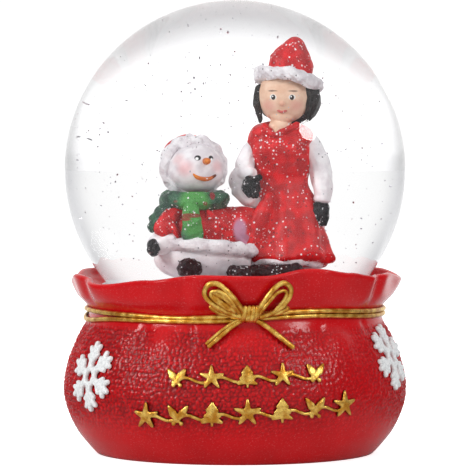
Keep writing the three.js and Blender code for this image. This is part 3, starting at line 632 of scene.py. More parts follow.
def roll(path, radii, closed=False, flat=(1, 1, 1)):
    """A rolled strand of clay along a path, its radius changing evenly between the given ones."""
    path = [*path, path[0]] if closed else path
    length = sum((Vector(b) - Vector(a)).length for a, b in zip(path, path[1:]))
    steps = max(6, int(length / (min(radii) * BEAD_STEP)))
    line = smooth_line(path, steps)
    size = np.interp(np.linspace(0, len(radii) - 1, steps + 1), range(len(radii)), radii)
    points, faces = SMALL_MARBLE
    beads = line[:, None] + points * size[:, None, None] * flat
    chained = faces[None] + np.arange(steps + 1)[:, None, None] * len(points)
    return beads.reshape(-1, 3), chained.reshape(-1, 3)


def hoop(centre, radius, tube, tilt=(0, 0, 0), stretch=(1, 1, 1)):
    """A ring of clay, stretched and tilted."""
    turn = Euler([math.radians(a) for a in tilt]).to_matrix()
    wide, deep, thick = stretch
    angles = np.arange(24) / 24 * 2 * math.pi
    ring = [Vector((radius * wide * math.cos(a), radius * deep * math.sin(a), 0)) for a in angles]
    return roll([Vector(centre) + turn @ p for p in ring], [tube], closed=True, flat=(1, 1, thick))


def knead(name, lumps, voxel, finish, slot, rounds=6, press=None, crown=None):
    """Joins lumps into one smooth skin. A press moves its points, and creases end at the crown's height."""
    counts = np.cumsum([0] + [len(points) for points, _ in lumps])
    rough = bpy.data.meshes.new(name)
    faces = np.concatenate([faces + start for (_, faces), start in zip(lumps, counts)])
    rough.from_pydata(np.concatenate([points for points, _ in lumps]), [], faces.tolist())
    lump_object = bpy.data.objects.new(name, rough)
    bpy.context.collection.objects.link(lump_object)
    skin = lump_object.modifiers.new("skin", "REMESH")
    skin.mode = "VOXEL"
    skin.voxel_size = voxel
    thumb = lump_object.modifiers.new("thumb", "SMOOTH")
    thumb.iterations = rounds
    shown = lump_object.evaluated_get(bpy.context.evaluated_depsgraph_get()).to_mesh()
    points = np.empty(len(shown.vertices) * 3)
    shown.vertices.foreach_get("co", points)
    points = points.reshape(-1, 3)
    faces = [tuple(face.vertices) for face in shown.polygons]
    bpy.data.objects.remove(lump_object)
    crease = 0 * points[:, 2] if crown is None else 1 - ease(points[:, 2], 0, crown)
    if press is not None:
        points = press(points)
    piece = new_piece(name, points, faces, finish, slot)
    piece.data.attributes.new("crease", "FLOAT", "POINT").data.foreach_set("value", crease)
    return piece


def lay_on_sack(points, degrees, z, tilt, sink=0.35):
    """Bends flat relief, given as [across, up, height], round the belly."""
    turn = math.radians(tilt)
    azimuth = math.radians(degrees)
    across = points[:, 0] * math.cos(turn) - points[:, 1] * math.sin(turn)
    up = points[:, 0] * math.sin(turn) + points[:, 1] * math.cos(turn)
    slope = (sack_radius(azimuth, z + 1) - sack_radius(azimuth, z - 1)) / 2
    height = z + up / math.hypot(1, slope)
    at = azimuth + across / sack_radius(azimuth, height)
    return off_sack(at, height, points[:, 2] - sink)


def white_enamel():
    """White enamel, with a little grey in the hollows."""
    made, start, place = new_finish("white_enamel")
    fine = place.speckle(2.2, 3.0)
    white = fine.step(0.35, 0.6).mix(tint("d9dcdc"), tint("f4f6f5"))
    coat_with(start, relief=fine, height=0.07, Base_Color=white, Roughness=0.42 + fine * 0.1)
    return made


def flake_lumps():
    """Six short arms that spread into fans of rounded lobes, round a small star-shaped hole."""
    lumps = []
    for k in range(6):
        def at(r, degrees):
            a = math.radians(60 * k + degrees)
            return (r * math.cos(a), r * math.sin(a), 0)

        lumps.append(roll([at(1.8, -30), at(2.2, 0), at(1.8, 30)], [0.7]))
        lumps.append(roll([at(2, 0), at(5, 0), at(7.5, -2)], [0.95, 0.8, 0.72]))
        for side in (-1, 1):
            lumps.append(roll([at(4.6, 0), at(6.2, side * 11), at(7.0, side * 15)], [0.6, 0.7, 0.62]))
            lumps.append(roll([at(3.6, side * 3), at(5.2, side * 19)], [0.6, 0.6]))
    return lumps


FLAKE_LUMPS = flake_lumps()
WHITE = white_enamel()
for name, degrees, z, tilt in (("left", -56, 19.3, 38), ("right", 68, 23.2, 20), ("back", 184, 20, 30)):
    def press_flake(points):
        height = points[:, 2]
        flat = np.where(height > 0, FLAKE_THICK * np.tanh(height * 1.6 / FLAKE_THICK), height * 0.5)
        return lay_on_sack(np.column_stack([points[:, 0], points[:, 1], flat + 0.35]), degrees, z, tilt)

    flake = knead(f"flake_{name}", FLAKE_LUMPS, 0.17, WHITE, "white_relief", rounds=3, press=press_flake)
    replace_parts(flake, f"snowflake_{name}")

# ---- The garlands: two rows of stars, firs and leaf sprigs on a waving stem across the front. They are
# raised from the cloth in the casting, and picked out with the gold paint.
GARLAND_THICK = 0.72
GARLANDS = {
    "upper": (["sprig", "star", "tree", "star", "sprig"], 20.6, 8, 0.03, 2.7),
    "lower": (["star", "sprig", "tree", "star", "tree", "sprig", "star"], 12.6, 7.9, 0.05, 3),
}  # row: motifs, height, distance between motifs, rise to the right, size


def star_lumps(x, y, size):
    """Five tapering points round a low boss."""
    tips = [(x + size * math.cos(a), y + size * math.sin(a), 0) for a in np.radians(90 + 72 * np.arange(5))]
    lumps = [roll([(x, y, 0.15), tip], [size * 0.32, size * 0.11]) for tip in tips]
    return lumps + [ball((x, y, 0.1), (size * 0.4, size * 0.4, 0.75))]


def tree_lumps(x, y, size):
    """A fir: a trunk under three tiers of branches."""
    lumps = [roll([(x, y - size * 0.85, 0), (x, y - size * 0.5, 0)], [size * 0.13])]
    for low, top, half in ((-0.6, -0.05, 0.72), (-0.15, 0.4, 0.55), (0.3, 0.88, 0.38)):
        peak = (x, y + top * size, 0)
        left = (x - half * size, y + low * size, 0)
        right = (x + half * size, y + low * size, 0)
        middle = (x, y + (low + 0.12) * size, 0)
        lumps += [roll([peak, left], [0.3, 0.42]), roll([peak, right], [0.3, 0.42])]
        lumps += [roll([left, middle, right], [0.42, 0.5, 0.42]), roll([peak, middle], [0.32, 0.6])]
    return lumps


def sprig_lumps(x, y, size):
    """Two leaves over three berries."""
    lumps = [ball((x, y - 0.35 * size, 0.1), (0.62, 0.62, 0.8))]
    for reach in (-size, size):
        base = (x, y - 0.3 * size, 0)
        belly = (x + reach * 0.35, y + 0.15 * size, 0.1)
        tip = (x + reach * 0.75, y + 0.72 * size, 0)
        lumps.append(roll([base, belly, tip], [0.35, 0.95, 0.3]))
        lumps.append(ball((x + reach * 0.3, y - 0.62 * size, 0.05), (0.5, 0.5, 0.7)))
    return lumps


MOTIFS = {"star": star_lumps, "tree": tree_lumps, "sprig": sprig_lumps}


def garland(row):
    names, z, pitch, rise, size = GARLANDS[row]
    half = (len(names) - 1) * pitch / 2
    xs = np.linspace(-half - 1, half + 1, 40)
    stem = [(x, 0.6 * math.sin(2 * math.pi * x / pitch) + rise * x - 0.6, 0) for x in xs]
    lumps = [roll(stem, [0.42])]
    for i, motif in enumerate(names):
        x = i * pitch - half
        lumps += MOTIFS[motif](x, rise * x, size)

    def press(points):
        height = points[:, 2]
        flat = np.where(height > 0, GARLAND_THICK * np.tanh(height * 1.7 / GARLAND_THICK), height * 0.4)
        return lay_on_sack(np.column_stack([points[:, 0], points[:, 1], flat + 0.3]), 4, z, 0, sink=0.3)

    # the crown gives the gold its painted shade at the foot of the relief, next to the cloth
    relief = knead(f"garland_{row}_gold", lumps, 0.16, GOLD, "gold_paint", rounds=2, press=press, crown=0.5)
    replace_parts(relief, f"garland_{row}")


garland("upper")
garland("lower")

# ---- The ball: clear blown glass with a short neck, glued in the sack's mouth. It is filled to the top, so
# the water has no surface of its own: the inner wall bends light only as much as glass against water does.
GLASS = 2.0
NECK_END = 30.1


def clear_glass(name, ior):
    """Glass that lets light through to the figures as if it weren't there."""
    made, start, place = new_finish(name)
    shadow = start.node("LightPath", output="Is Shadow Ray")
    lit = shadow.most(start.node("LightPath", output="Is Diffuse Ray"))
    glass = start.node("BsdfPrincipled", {
        "Base Color": (1, 1, 1, 1), "Roughness": 0.0, "IOR": ior, "Transmission Weight": 1.0,
        "Specular IOR Level": 0.2,
    })
    through = start.node("BsdfTransparent", {"Color": (1, 1, 1, 1)})
    mixed = start.node("MixShader", {0: lit, 1: glass, 2: through})
    start.node("OutputMaterial", {"Surface": mixed})
    return made


def ball_points(radius, neck, steps):
    """[radius, height] up the wall, from the neck's open end to the top."""
    corner = -math.acos(neck / radius)
    angles = np.linspace(corner, math.pi / 2, steps)
    wall = np.stack([radius * np.cos(angles), GLOBE_Z + radius * np.sin(angles)], axis=-1)
    return np.concatenate([[(neck, NECK_END), (neck, (NECK_END + wall[0, 1]) / 2)], wall])


def globe_mesh():
    """Points and faces down the inside, round the neck's end and up the outside."""
    steps = 160
    azimuth = np.arange(steps) / steps * 2 * math.pi
    outside = ball_points(GLOBE_R, NECK_R, 90)
    inside = ball_points(GLOBE_R - GLASS, NECK_R - GLASS, 90)
    rows = np.concatenate([inside[::-1][1:], outside[:-1]])
    points = np.concatenate([on_azimuth(azimuth, 0 * azimuth + r, 0 * azimuth + z) for r, z in rows])
    faces = grid_faces(len(rows), steps)
    inner_top = len(points)
    points = np.concatenate([points, [(0, 0, GLOBE_Z + GLOBE_R - GLASS), (0, 0, GLOBE_Z + GLOBE_R)]])
    last = (len(rows) - 1) * steps
    faces += [(inner_top, (i + 1) % steps, i) for i in range(steps)]
    faces += [(inner_top + 1, last + i, last + (i + 1) % steps) for i in range(steps)]
    return points, faces


globe_points, globe_faces = globe_mesh()
globe = new_piece("glass_ball", globe_points, globe_faces, clear_glass("glass_to_air", 1.5), "clear_glass")
globe.data.materials.append(clear_glass("glass_to_water", 1.125))
centre = Vector((0, 0, GLOBE_Z)) * MM
for face in globe.data.polygons:
    wet = (face.center - centre).length < (GLOBE_R - GLASS / 2) * MM
    face.material_index = int(wet)
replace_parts(globe, "glass_globe", "liquid_fill")

# ---- The stopper and the bead: a plug of pale moulded rubber, pressed into the neck, keeps the water in. A
# run of clear silicone, laid by hand, beds the ball in the mouth of the sack.


def dress(finish, *nodes):
    """Gives CAD pieces their finish."""
    for node in nodes:
        frame["nodes"][node].data.materials.clear()
        frame["nodes"][node].data.materials.append(finish)


def soft_rubber():
    """Matt pale rubber with a fine grain."""
    made, start, place = new_finish("soft_rubber")
    pale = place.speckle(0.3).mix(tint("c9cdce"), tint("dcdfe0"))
    coat_with(start, relief=place.speckle(3.0), height=0.02, Base_Color=pale, Roughness=0.45)
    return made


dress(soft_rubber(), "rubber_stopper")


def silicone():
    """Milky silicone, glossy and a little uneven."""
    made, start, place = new_finish("silicone")
    cloud = place.speckle(0.8)
    milky = cloud.mix(tint("b9b3b3"), tint("d9d6d6"))
    coat_with(start, relief=cloud, height=0.1, Base_Color=milky, Roughness=0.25)
    return made


def silicone_bead():
    """A ring of silicone between the ball and the lip, with a hand-laid, slightly wavy top."""
    steps = 180
    azimuth = np.arange(steps) / steps * 2 * math.pi
    sag = 0.12 * np.sin(9 * azimuth) + 0.08 * np.sin(23 * azimuth)
    ring = [(29.5, 38.35), (31.7, 38.8), (31.75, 39.15), (31.2, 39.5), (30.7, 39.75), (30.0, 39.2)]
    points = [on_azimuth(azimuth, r + 0 * azimuth, z + sag * (z - 38.3) * 0.5) for r, z in ring]
    faces = [face[::-1] for face in grid_faces(len(ring), steps, close_rows=True)]
    bead = new_piece("bead", np.concatenate(points), faces, silicone(), "clear_silicone")
    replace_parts(bead, "silicone_bead")


silicone_bead()

# ---- The snow mound: cast in resin on top of the stopper and painted white, with glitter that has settled on
# it. It fills the neck and rises to a low dome that the figures stand on.
MOUND_STEPS = 120
MOUND = [(0.01, 37.95), (19.6, 37.95), (19.7, 41.2), (18.1, 43.4), (14.4, 44.7), (9, 45.2), (0.01, 45.3)]


def flakes_on(place, scale, share):
    """Where flakes of glitter stick to a surface: one in the middle of a share of the cells of a net."""
    net = {"Vector": place, "Scale": scale}
    middle = place.node("TexVoronoi", net).step(0.38, 0.28)
    chosen = place.node("TexVoronoi", net, output="Color").part("X")
    return middle * chosen.step(1 - share, 1.03 - share)


def figure_paint(name, low, high, flakes=0.25, grain=1.2, relief=0.1, roughness=0.42, marks=()):
    """Brushed paint under settled glitter; marks are [centre, half-sizes, colour, strength, softness]."""
    made, start, place = new_finish(name)
    cloud = place.speckle(0.5, 3.0)
    lumps = place.speckle(grain, 3.0)
    colour = cloud.step(0.35, 0.65).mix(tint(low), tint(high))
    for centre, size, code, strength, soft in marks:
        mark = place.away(centre, size).step(1 + soft, 1 - soft) * strength
        colour = mark.mix(colour, tint(code))
    patch = place.speckle(0.3, 2.0).step(0.3, 0.7) * flakes
    flake = flakes_on(place, 1.7, patch * 0.5).most(flakes_on(place, 2.9, patch * 0.4))
    elsewhere = place.node("VectorMath", {0: place, 1: (7, 3, 5)}, operation="ADD")
    # painted shade: dark flecks stand for flakes of glitter that lie in shade
    shaded_flake = flakes_on(elsewhere, 1.9, patch * 0.5)  # a flake that lies in shade looks dark
    colour = (shaded_flake * 0.75).mix(colour, tint("2a2022"))
    colour = (flake * 0.9).mix(colour, tint("f3f1f4"))
    shine = roughness - flake * 0.15
    coat_with(start, relief=lumps, height=relief, Base_Color=colour, Roughness=shine, Specular_IOR_Level=0.3)
    return made


def rumple(height, size, seed):
    """A press that dents the clay at random by up to a height, in dents of about a size."""
    random = np.random.default_rng(seed)
    waves = random.normal(size=(9, 3)) / size * 1.6
    shifts = random.normal(size=(9, 3)) * height / 3
    phases = random.random(9) * 6.3

    def press(points):
        return points + np.sin(points @ waves.T + phases) @ shifts

    return press


def mound_mesh():
    """Points and faces of a turned dome, with drifts on the part that shows."""
    azimuth = np.arange(MOUND_STEPS) / MOUND_STEPS * 2 * math.pi
    line = smooth_line(MOUND, 60)
    points = np.concatenate([on_azimuth(azimuth, r + 0 * azimuth, z + 0 * azimuth) for r, z in line])
    drifts = rumple(0.14, 3.0, 1)(points) - points
    points = points + drifts * ease(points[:, 2], 41, 43)[:, None] * (0.3, 0.3, 1)
    return points, [face[::-1] for face in grid_faces(len(line), MOUND_STEPS)]


SNOW = figure_paint("snow_paint", "d9d6dc", "f1f0f3", flakes=0.5, grain=2.0, relief=0.25, roughness=0.6)
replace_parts(new_piece("mound", *mound_mesh(), SNOW, "snow"), "snow_mound")

# ---- The snowman: modelled by hand, cast in resin with the mound and painted with a brush. It sits with its
# legs out, in a red coat with fur trim, a green scarf and a cap with a broad fur edge, and leans on the girl.
HEAD = (-7, -4.3, 66.4)
HEAD_SIZE = (5.1, 4.9, 4.5)
PINK = "eaa6a6"
EYE = "1c1a1e"
GLINT = "fbfbfb"
STRIPE = "8e1a20"
PAINTED_SHEEN = "b98aa4"


def on_head(x, z, out=0.0):
    """A point on the front of the snowman's head."""
    u = (x - HEAD[0]) / HEAD_SIZE[0]
    w = (z - HEAD[2]) / HEAD_SIZE[2]
    return (x, HEAD[1] - HEAD_SIZE[1] * math.sqrt(max(0.0, 1 - u * u - w * w)) - out, z)


FACE_MARKS = [
    (on_head(-9.4, 66.6), (1.5, 1.5, 1.3), PINK, 0.6, 0.75),
    (on_head(-3.3, 66.9), (1.1, 1.5, 1.1), PINK, 0.5, 0.75),
    (on_head(-10.6, 68.3), (1.2, 1.5, 1.0), "eab4b4", 0.5, 0.7),
    (on_head(-6.95, 68.55), (0.62, 0.9, 0.5), EYE, 1.0, 0.12),
    (on_head(-7.1, 68.4), (0.3, 0.9, 0.26), GLINT, 1.0, 0.12),
    (on_head(-4.45, 68.5), (0.45, 0.9, 0.45), EYE, 1.0, 0.12),
    (on_head(-4.35, 68.25), (0.2, 0.9, 0.22), GLINT, 1.0, 0.12),
]
FIGURE_WHITE = figure_paint("figure_white", "ebe6e9", "fbf9fa", flakes=0.15, relief=0.07, roughness=0.5)
FACE_WHITE = figure_paint("snowman_face", "ddd6da", "f1edef", flakes=0.05, relief=0.04, marks=FACE_MARKS)
FUR = figure_paint("fur_paint", "ddd6da", "f6f3f5", flakes=0.45, grain=2.2, relief=0.35, roughness=0.75)
RED = figure_paint("red_paint", "b4050f", "dc0a14", flakes=0.48, grain=1.0, relief=0.12, roughness=0.5)
BLACK = figure_paint("black_paint", "060608", "17171b", flakes=0.6, grain=2.0, relief=0.6, roughness=0.35)
MOUTH_MARKS = [(on_head(-3.6, 65.2), (0.7, 1.2, 0.6), "5a2410", 0.9, 0.3)]
ORANGE = figure_paint("orange_paint", "c4601a", "e0812c", flakes=0.05, marks=MOUTH_MARKS)
SCARF_MARKS = [
    ((-7.6, -9.6, 58.4), (3.0, 3.2, 5.2), "4f9c48", 0.9, 0.25),
    ((-8.4, -10.4, 57.7), (2.3, 1.2, 0.42), STRIPE, 0.85, 0.15),
    ((-9.6, -10.4, 57.0), (1.2, 1.2, 0.35), "a02128", 0.85, 0.15),
    ((-4.2, -9.0, 61.6), (0.5, 1.0, 0.9), STRIPE, 0.9, 0.15),
    ((-10.9, -8.2, 60.4), (0.7, 1.0, 0.45), "a3343a", 0.8, 0.2),
    ((-5.6, -9.4, 60.0), (0.45, 1.0, 0.4), STRIPE, 0.7, 0.2),
]
GREEN = figure_paint("green_paint", "1d3f30", "3c6b4e", flakes=0.4, grain=2.0, relief=0.35, marks=SCARF_MARKS)
# painted highlight: two pale patches of sheen on the front of the coat
COAT_MARKS = [
    ((0.9, -7.4, 55.2), (1.2, 2.0, 2.1), PAINTED_SHEEN, 0.9, 0.3),
    ((1.9, -7.0, 53.4), (1.0, 2.0, 1.0), PAINTED_SHEEN, 0.8, 0.3),
]


def cast(name, node, lumps, voxel, finish, slot, dents=None, rounds=6):
    """A figure's part in place of its solid: kneaded from lumps, then dented as [height, size, seed]."""
    press = rumple(*dents) if dents else None
    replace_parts(knead(name, lumps, voxel, finish, slot, rounds=rounds, press=press), node)


smile = [(-7.8, 65.55), (-7.1, 64.95), (-5.8, 64.6), (-4.6, 64.75), (-3.7, 65.3)]
smile = [on_head(x, z, 0.02) for x, z in smile]
nose = [roll([(-5.4, -8.6, 67.9), (-5.1, -10.1, 68)], [0.72, 0.6])]
nose.append(roll(smile, [0.16, 0.4, 0.46, 0.38, 0.3], flat=(1, 0.6, 1)))
cast("nose_and_mouth", "snowman_nose", nose, 0.09, ORANGE, "orange_figure", rounds=3)

mitten = [ball((-15.5, -8.2, 51.4), (1.35, 1.4, 1.75))]
mitten.append(roll([(-14.8, -8.9, 52), (-14.5, -9.1, 51.2)], [0.5, 0.4]))
cast("mitten", "snowman_mitten", mitten, 0.12, BLACK, "black_figure", (0.12, 0.8, 2))
sole = [ball((-8.8, -10.6, 47.3), (2.6, 2.7, 2.0))]
for y in (-12.6, -11.8):
    sole.append(roll([(-10.6, y, 46.6), (-8.8, y - 0.5, 48.6), (-6.9, y, 47.4)], [0.4]))
cast("boot_left", "snowman_boot_left", sole, 0.12, BLACK, "black_figure", (0.14, 0.9, 3))
shoe = [roll([(-0.1, -9.9, 46.8), (2, -9.4, 46.7)], [1.5, 1.4])]
cast("boot_right", "snowman_boot_right", shoe, 0.12, BLACK, "black_figure", (0.18, 0.8, 4))
cuff = [ball((-13.9, -6.6, 52.5), (2.55, 2.05, 2.25)), ball((-12.4, -7.6, 53.4), (1.5, 1.1, 1.1))]
cast("cuff", "snowman_cuff", cuff, 0.14, FIGURE_WHITE, "white_fur", (0.14, 1.0, 5))

tail_path = [(-8.3, -9.3, 59.4), (-8.2, -9.7, 57.6), (-8.1, -9.6, 55.4), (-8.0, -9.4, 53)]
tail = [roll(tail_path, [1.3, 1.9, 2.0, 1.7], flat=(1, 0.45, 1))]
tail.append(ball((-8.0, -9.5, 54.3), (2.15, 0.85, 2.2)))
cast("scarf_end", "scarf_tail", tail, 0.13, GREEN, "green_figure", (0.1, 1.2, 6))
wrap = [hoop((-7.4, -4.4, 60.8), 4.8, 1.6, (4, 0, 0), (1, 0.85, 1.1))]
wrap_end = [(-10.2, -7.2, 61.2), (-12.4, -5.4, 59.4), (-14.2, -5.0, 57.4), (-15.2, -5.0, 55.6)]
wrap.append(roll(wrap_end, [1.1, 1.6, 1.4, 1.0]))
wrap.append(roll([(-10.8, -7.4, 60.2), (-12.8, -6.6, 58.6), (-14.6, -6.0, 56.6)], [0.9, 0.8, 0.7]))
wrap.append(ball((-7.6, -8.7, 60.2), (2.6, 1.0, 1.8)))
wrap.append(roll([(-5.4, -8.9, 60.2), (-3.4, -8.0, 60.6), (-1.9, -6.4, 61.4)], [0.9, 1.0, 0.8]))
cast("scarf", "scarf_wrap", wrap, 0.14, GREEN, "green_figure", (0.16, 1.1, 7))

edge = [hoop((-7.6, -3.2, 66.8), 5.05, 1.3, (84, 0, 8), (1, 0.9, 1))]
cast("hood_edge", "snowman_hood_fur", edge, 0.14, FUR, "white_fur", (0.18, 0.9, 8))
face = [ball(HEAD, HEAD_SIZE)]
face.append(ball((-9.6, -5.6, 65.6), (2.4, 2.3, 2.2)))
face.append(ball((-4.3, -5.9, 65.7), (2.2, 2.2, 2.1)))
cast("face", "snowman_head", face, 0.14, FACE_WHITE, "white_figure")
cap = [ball((-8.25, -0.4, 67.7), (4.9, 4.2, 4.8))]
cast("cap", "snowman_cap", cap, 0.18, RED, "red_figure", (0.08, 1.2, 9))
band = [hoop((-5, -3.6, 51.9), 6.6, 1.25, (0, 4, 0), (1.27, 0.98, 1.1))]
cast("coat_edge", "coat_fur_trim", band, 0.15, FUR, "white_fur", (0.2, 1.0, 10))
sleeve = [roll([(-10.4, -5.9, 58.6), (-12.2, -6.9, 57), (-13.5, -7.2, 55.2)], [2.0, 2.05, 1.9])]
for k in (0, 1):
    sleeve.append(roll([(-12.6, -9, 57 - k), (-11.4, -8.6, 55.6 - k), (-10.6, -7.8, 54.8 - k)], [0.5]))
cast("sleeve", "snowman_sleeve", sleeve, 0.14, RED, "red_figure", (0.12, 1.2, 11))
COAT = figure_paint("coat_paint", "b4050f", "dc0a14", flakes=0.55, grain=1.0, relief=0.15, roughness=0.5,
                    marks=COAT_MARKS)
coat = [ball((-6.4, -3.4, 55.8), (7.5, 5.5, 4.9)), ball((-0.4, -3.6, 55), (4.9, 4.1, 4.5))]
coat.append(roll([(-2, -4.4, 57.6), (1.2, -4.2, 58), (3.4, -3.6, 57.8)], [1.8, 1.7, 1.5]))
for k in (0, 1.6):
    crease = [(-5, -8.3, 58.6 - k * 0.5), (-2.4 + k, -7.6, 56.8 - k), (0.4 + k, -6.8, 54 - k)]
    coat.append(roll(crease, [0.5]))
cast("coat", "snowman_coat", coat, 0.16, COAT, "red_figure", (0.2, 1.6, 12))
body = [ball((-5.8, -3, 49.8), (8.9, 6.7, 4.15))]
cast("snow_body", "snowman_body", body, 0.18, FIGURE_WHITE, "white_figure", (0.12, 2.0, 13))

# ---- The girl: modelled by hand, cast in resin with the mound and painted with a brush. She stands behind
# the snowman in a flared red dress with white sleeves, black gloves and boots, and a red cap with a fur edge.
FACE_AXIS = 0.05  # lean of the face to the right, per mm of height
FACE_SIZE = (4.7, 4.1, 4.8)


def on_face(x, z):
    """A point on the front of the girl's face: distances to the right and up from its middle."""
    wide, deep, high = FACE_SIZE
    forward = deep * math.sqrt(max(0.0, 1 - (x / wide) ** 2 - (z / high) ** 2))
    return (8.7 + x + FACE_AXIS * z, -0.4 - forward, 79.2 + z)


GIRL_MARKS = []
for side in (-1, 1):
    GIRL_MARKS += [
        (on_face(side * 2.55, -1.3), (1.2, 1.6, 0.95), "e59a8e", 0.5, 0.7),
        (on_face(side * 1.75, 0.35), (0.62, 1.2, 0.5), "f4f1ee", 1.0, 0.15),
        (on_face(side * 1.72, 0.3), (0.4, 1.3, 0.48), "2a1c18", 1.0, 0.12),
        (on_face(side * 1.72 - 0.14, 0.46), (0.13, 1.4, 0.13), "ffffff", 1.0, 0.2),
        (on_face(side * 1.75, 1.5), (0.7, 1.2, 0.14), "6a4636", 0.7, 0.5),
        (on_face(side * 2.2, 1.42), (0.5, 1.2, 0.14), "6a4636", 0.7, 0.5),
    ]
GIRL_MARKS += [
    (on_face(0, -2.42), (0.6, 1.2, 0.26), "c4504f", 0.9, 0.3),
    (on_face(-0.6, -2.22), (0.36, 1.2, 0.2), "c4504f", 0.9, 0.3),
    (on_face(0.6, -2.22), (0.36, 1.2, 0.2), "c4504f", 0.9, 0.3),
    (on_face(0, -0.8), (0.55, 1.0, 0.5), "e2a08c", 0.5, 0.6),
]
SKIN = figure_paint("skin_paint", "e3b99d", "f0cfb6", flakes=0.03, relief=0.03, roughness=0.6,
                    marks=GIRL_MARKS)
HAIR = figure_paint("hair_paint", "15110f", "2f2724", flakes=0.12, grain=2.0, relief=0.4, roughness=0.35)

palm = [ball((2.9, -5.2, 63.3), (1.75, 1.35, 2.0))]
palm.append(roll([(3.2, -5.9, 64.4), (4.5, -5.9, 64.9)], [0.75, 0.6]))
palm += [roll([(2.1 + k, -6, 62.4), (2.5 + k, -6, 61.5)], [0.55, 0.45]) for k in (0, 0.8, 1.5)]
cast("glove_left", "girl_glove_left", palm, 0.12, BLACK, "black_figure", (0.1, 0.9, 21))
hand = [ball((15.3, -1.6, 58.6), (1.75, 1.4, 2.2))]
hand.append(roll([(14.2, -2.4, 58.6), (14.4, -2.6, 57.2)], [0.65, 0.5]))
hand += [roll([(14.9 + k, -2.2, 57.4), (14.8 + k, -2.2, 56.5)], [0.6, 0.5]) for k in (0, 0.9, 1.5)]
cast("glove_right", "girl_glove_right", hand, 0.12, BLACK, "black_figure", (0.1, 0.9, 22))

brim = [hoop((9.5, 0.2, 82.1), 5.1, 1.3, (-24, 10, 0), (1, 0.95, 1))]
cast("hat_edge", "girl_hat_fur", brim, 0.14, FUR, "white_fur", (0.18, 0.9, 23))
hat = [roll([(9.9, 0.9, 84.4), (10.2, 0.9, 85.6), (10.6, 0.9, 87.2), (10.9, 1, 88.7)], [4.3, 3.7, 2.7, 1.8])]
cast("hat", "girl_hat", hat, 0.16, RED, "red_figure", (0.05, 2.4, 24))
head = [ball((8.7, -0.4, 79.2), (4.7, 4.1, 4.7)), ball((8.5, -2.3, 75.9), (2.1, 1.5, 1.3))]
head.append(ball(on_face(0, -0.8), (0.42, 0.45, 0.5)))
head.append(roll([on_face(-0.7, -2.25), on_face(0, -2.45), on_face(0.7, -2.25)], [0.18, 0.28, 0.18]))
head.append(roll([(8.3, -0.6, 75.8), (8, -1.2, 73.4)], [2.0, 2.0]))
head.append(ball((8.0, -2.4, 74), (2.0, 1.5, 1.3)))
head.append(roll([(7.8, -2.9, 73.8), (7.4, -4.3, 73)], [1.2, 0.5]))
cast("head", "girl_head", head, 0.13, SKIN, "skin", rounds=4)
locks = [ball((9.4, 2, 78.8), (5.8, 3.7, 4.9), (0, 12, 0))]
locks.append(roll([(4.3, -0.8, 80.6), (4.1, -1.5, 77.6), (4.5, -1.6, 75)], [0.9, 0.75, 0.4]))
locks.append(roll([(13.8, 0, 80.6), (14, -0.4, 78.4), (12.9, -0.6, 75)], [1.5, 1.2, 0.45]))
locks.append(roll([(13, -1.2, 80.4), (13.4, -1.6, 78.2), (12.7, -1.4, 75.6)], [0.8, 0.7, 0.35]))
cast("hair", "girl_hair", locks, 0.15, HAIR, "hair", (0.12, 0.9, 25))

arm = [roll([(4, 0.2, 71), (2.7, -0.8, 69), (1.8, -1.6, 66.8)], [1.6, 1.75, 1.85])]
arm += [ball((1.6, -1.8, 64.2), (2.5, 2.1, 2.9)), ball((2.2, -3.2, 65.4), (1.8, 1.4, 1.6))]
arm.append(roll([(1.2, -2.4, 62.6), (2.4, -3, 61.2), (3.8, -3, 60.2)], [1.7, 1.5, 1.1]))
cast("arm_left", "girl_sleeve_left", arm, 0.15, FIGURE_WHITE, "white_figure", (0.16, 1.5, 26))
arm = [roll([(13.3, 0, 70.8), (14.6, -0.1, 68), (15.4, -0.2, 65), (15.7, -1, 61.4)], [1.85, 2.05, 2.1, 1.7])]
arm.append(hoop((15.6, -1.1, 60.9), 1.1, 0.6, (0, 6, 0)))
cast("arm_right", "girl_sleeve_right", arm, 0.15, FIGURE_WHITE, "white_figure", (0.14, 1.5, 27))

def thrown(centre, profile, lean, flat, folds, depth, twist):
    """A skirt from [radius, height] points, leaning to one side, with folds that deepen downwards."""
    line = smooth_line([(0.01, profile[0][1]), *profile, (0.01, profile[-1][1])], 60)
    angles = np.arange(96) / 96 * 2 * math.pi
    low, high = line[:, 1].min(), line[:, 1].max()
    fall = np.clip((high - line[:, 1]) / (high - low), 0, 1)[:, None]
    r = line[:, :1] * (1 + depth * fall**1.5 * np.sin(folds * angles + twist * fall))
    x = centre[0] + r * np.cos(angles) + lean * (line[:, 1:] - low)
    y = centre[1] + r * np.sin(angles) * flat
    z = centre[2] + np.broadcast_to(line[:, 1:], x.shape)
    quads = np.array(grid_faces(len(line), len(angles)))
    faces = np.concatenate([quads[:, [0, 1, 2]], quads[:, [0, 2, 3]]])
    return np.stack([x, y, z], axis=-1).reshape(-1, 3), faces


DRESS_LINE = [
    (7.5, 49.5), (7.2, 53), (6.1, 58.5), (4.9, 62), (4.35, 64.4), (5.4, 67.6), (5.8, 70.6), (4.9, 73.2),
    (3.0, 74.4),
]
frock = [thrown((9.8, -0.2, 0), DRESS_LINE, lean=-0.085, flat=0.8, folds=8, depth=0.06, twist=1.5)]
frock.append(ball((4.9, -1.4, 72.8), (2.1, 2.3, 1.7)))
frock.append(ball((11.8, -1.4, 72.2), (2.3, 2.4, 2.0)))
collar = [(5.2, -3.0, 74), (6.2, -4.4, 73.4), (7.3, -5.0, 72.4), (8.8, -4.7, 73.3), (11.2, -3.3, 74.3)]
frock.append(roll(collar, [0.75, 0.5, 0.4, 0.5, 0.8]))
frock.append(ball((7.8, -2.6, 69.8), (4.6, 2.5, 2.6)))
frock.append(roll([(6.2, -4.6, 61), (4.6, -5.2, 57), (2.8, -4.9, 52.6)], [1.2, 1.7, 1.6]))
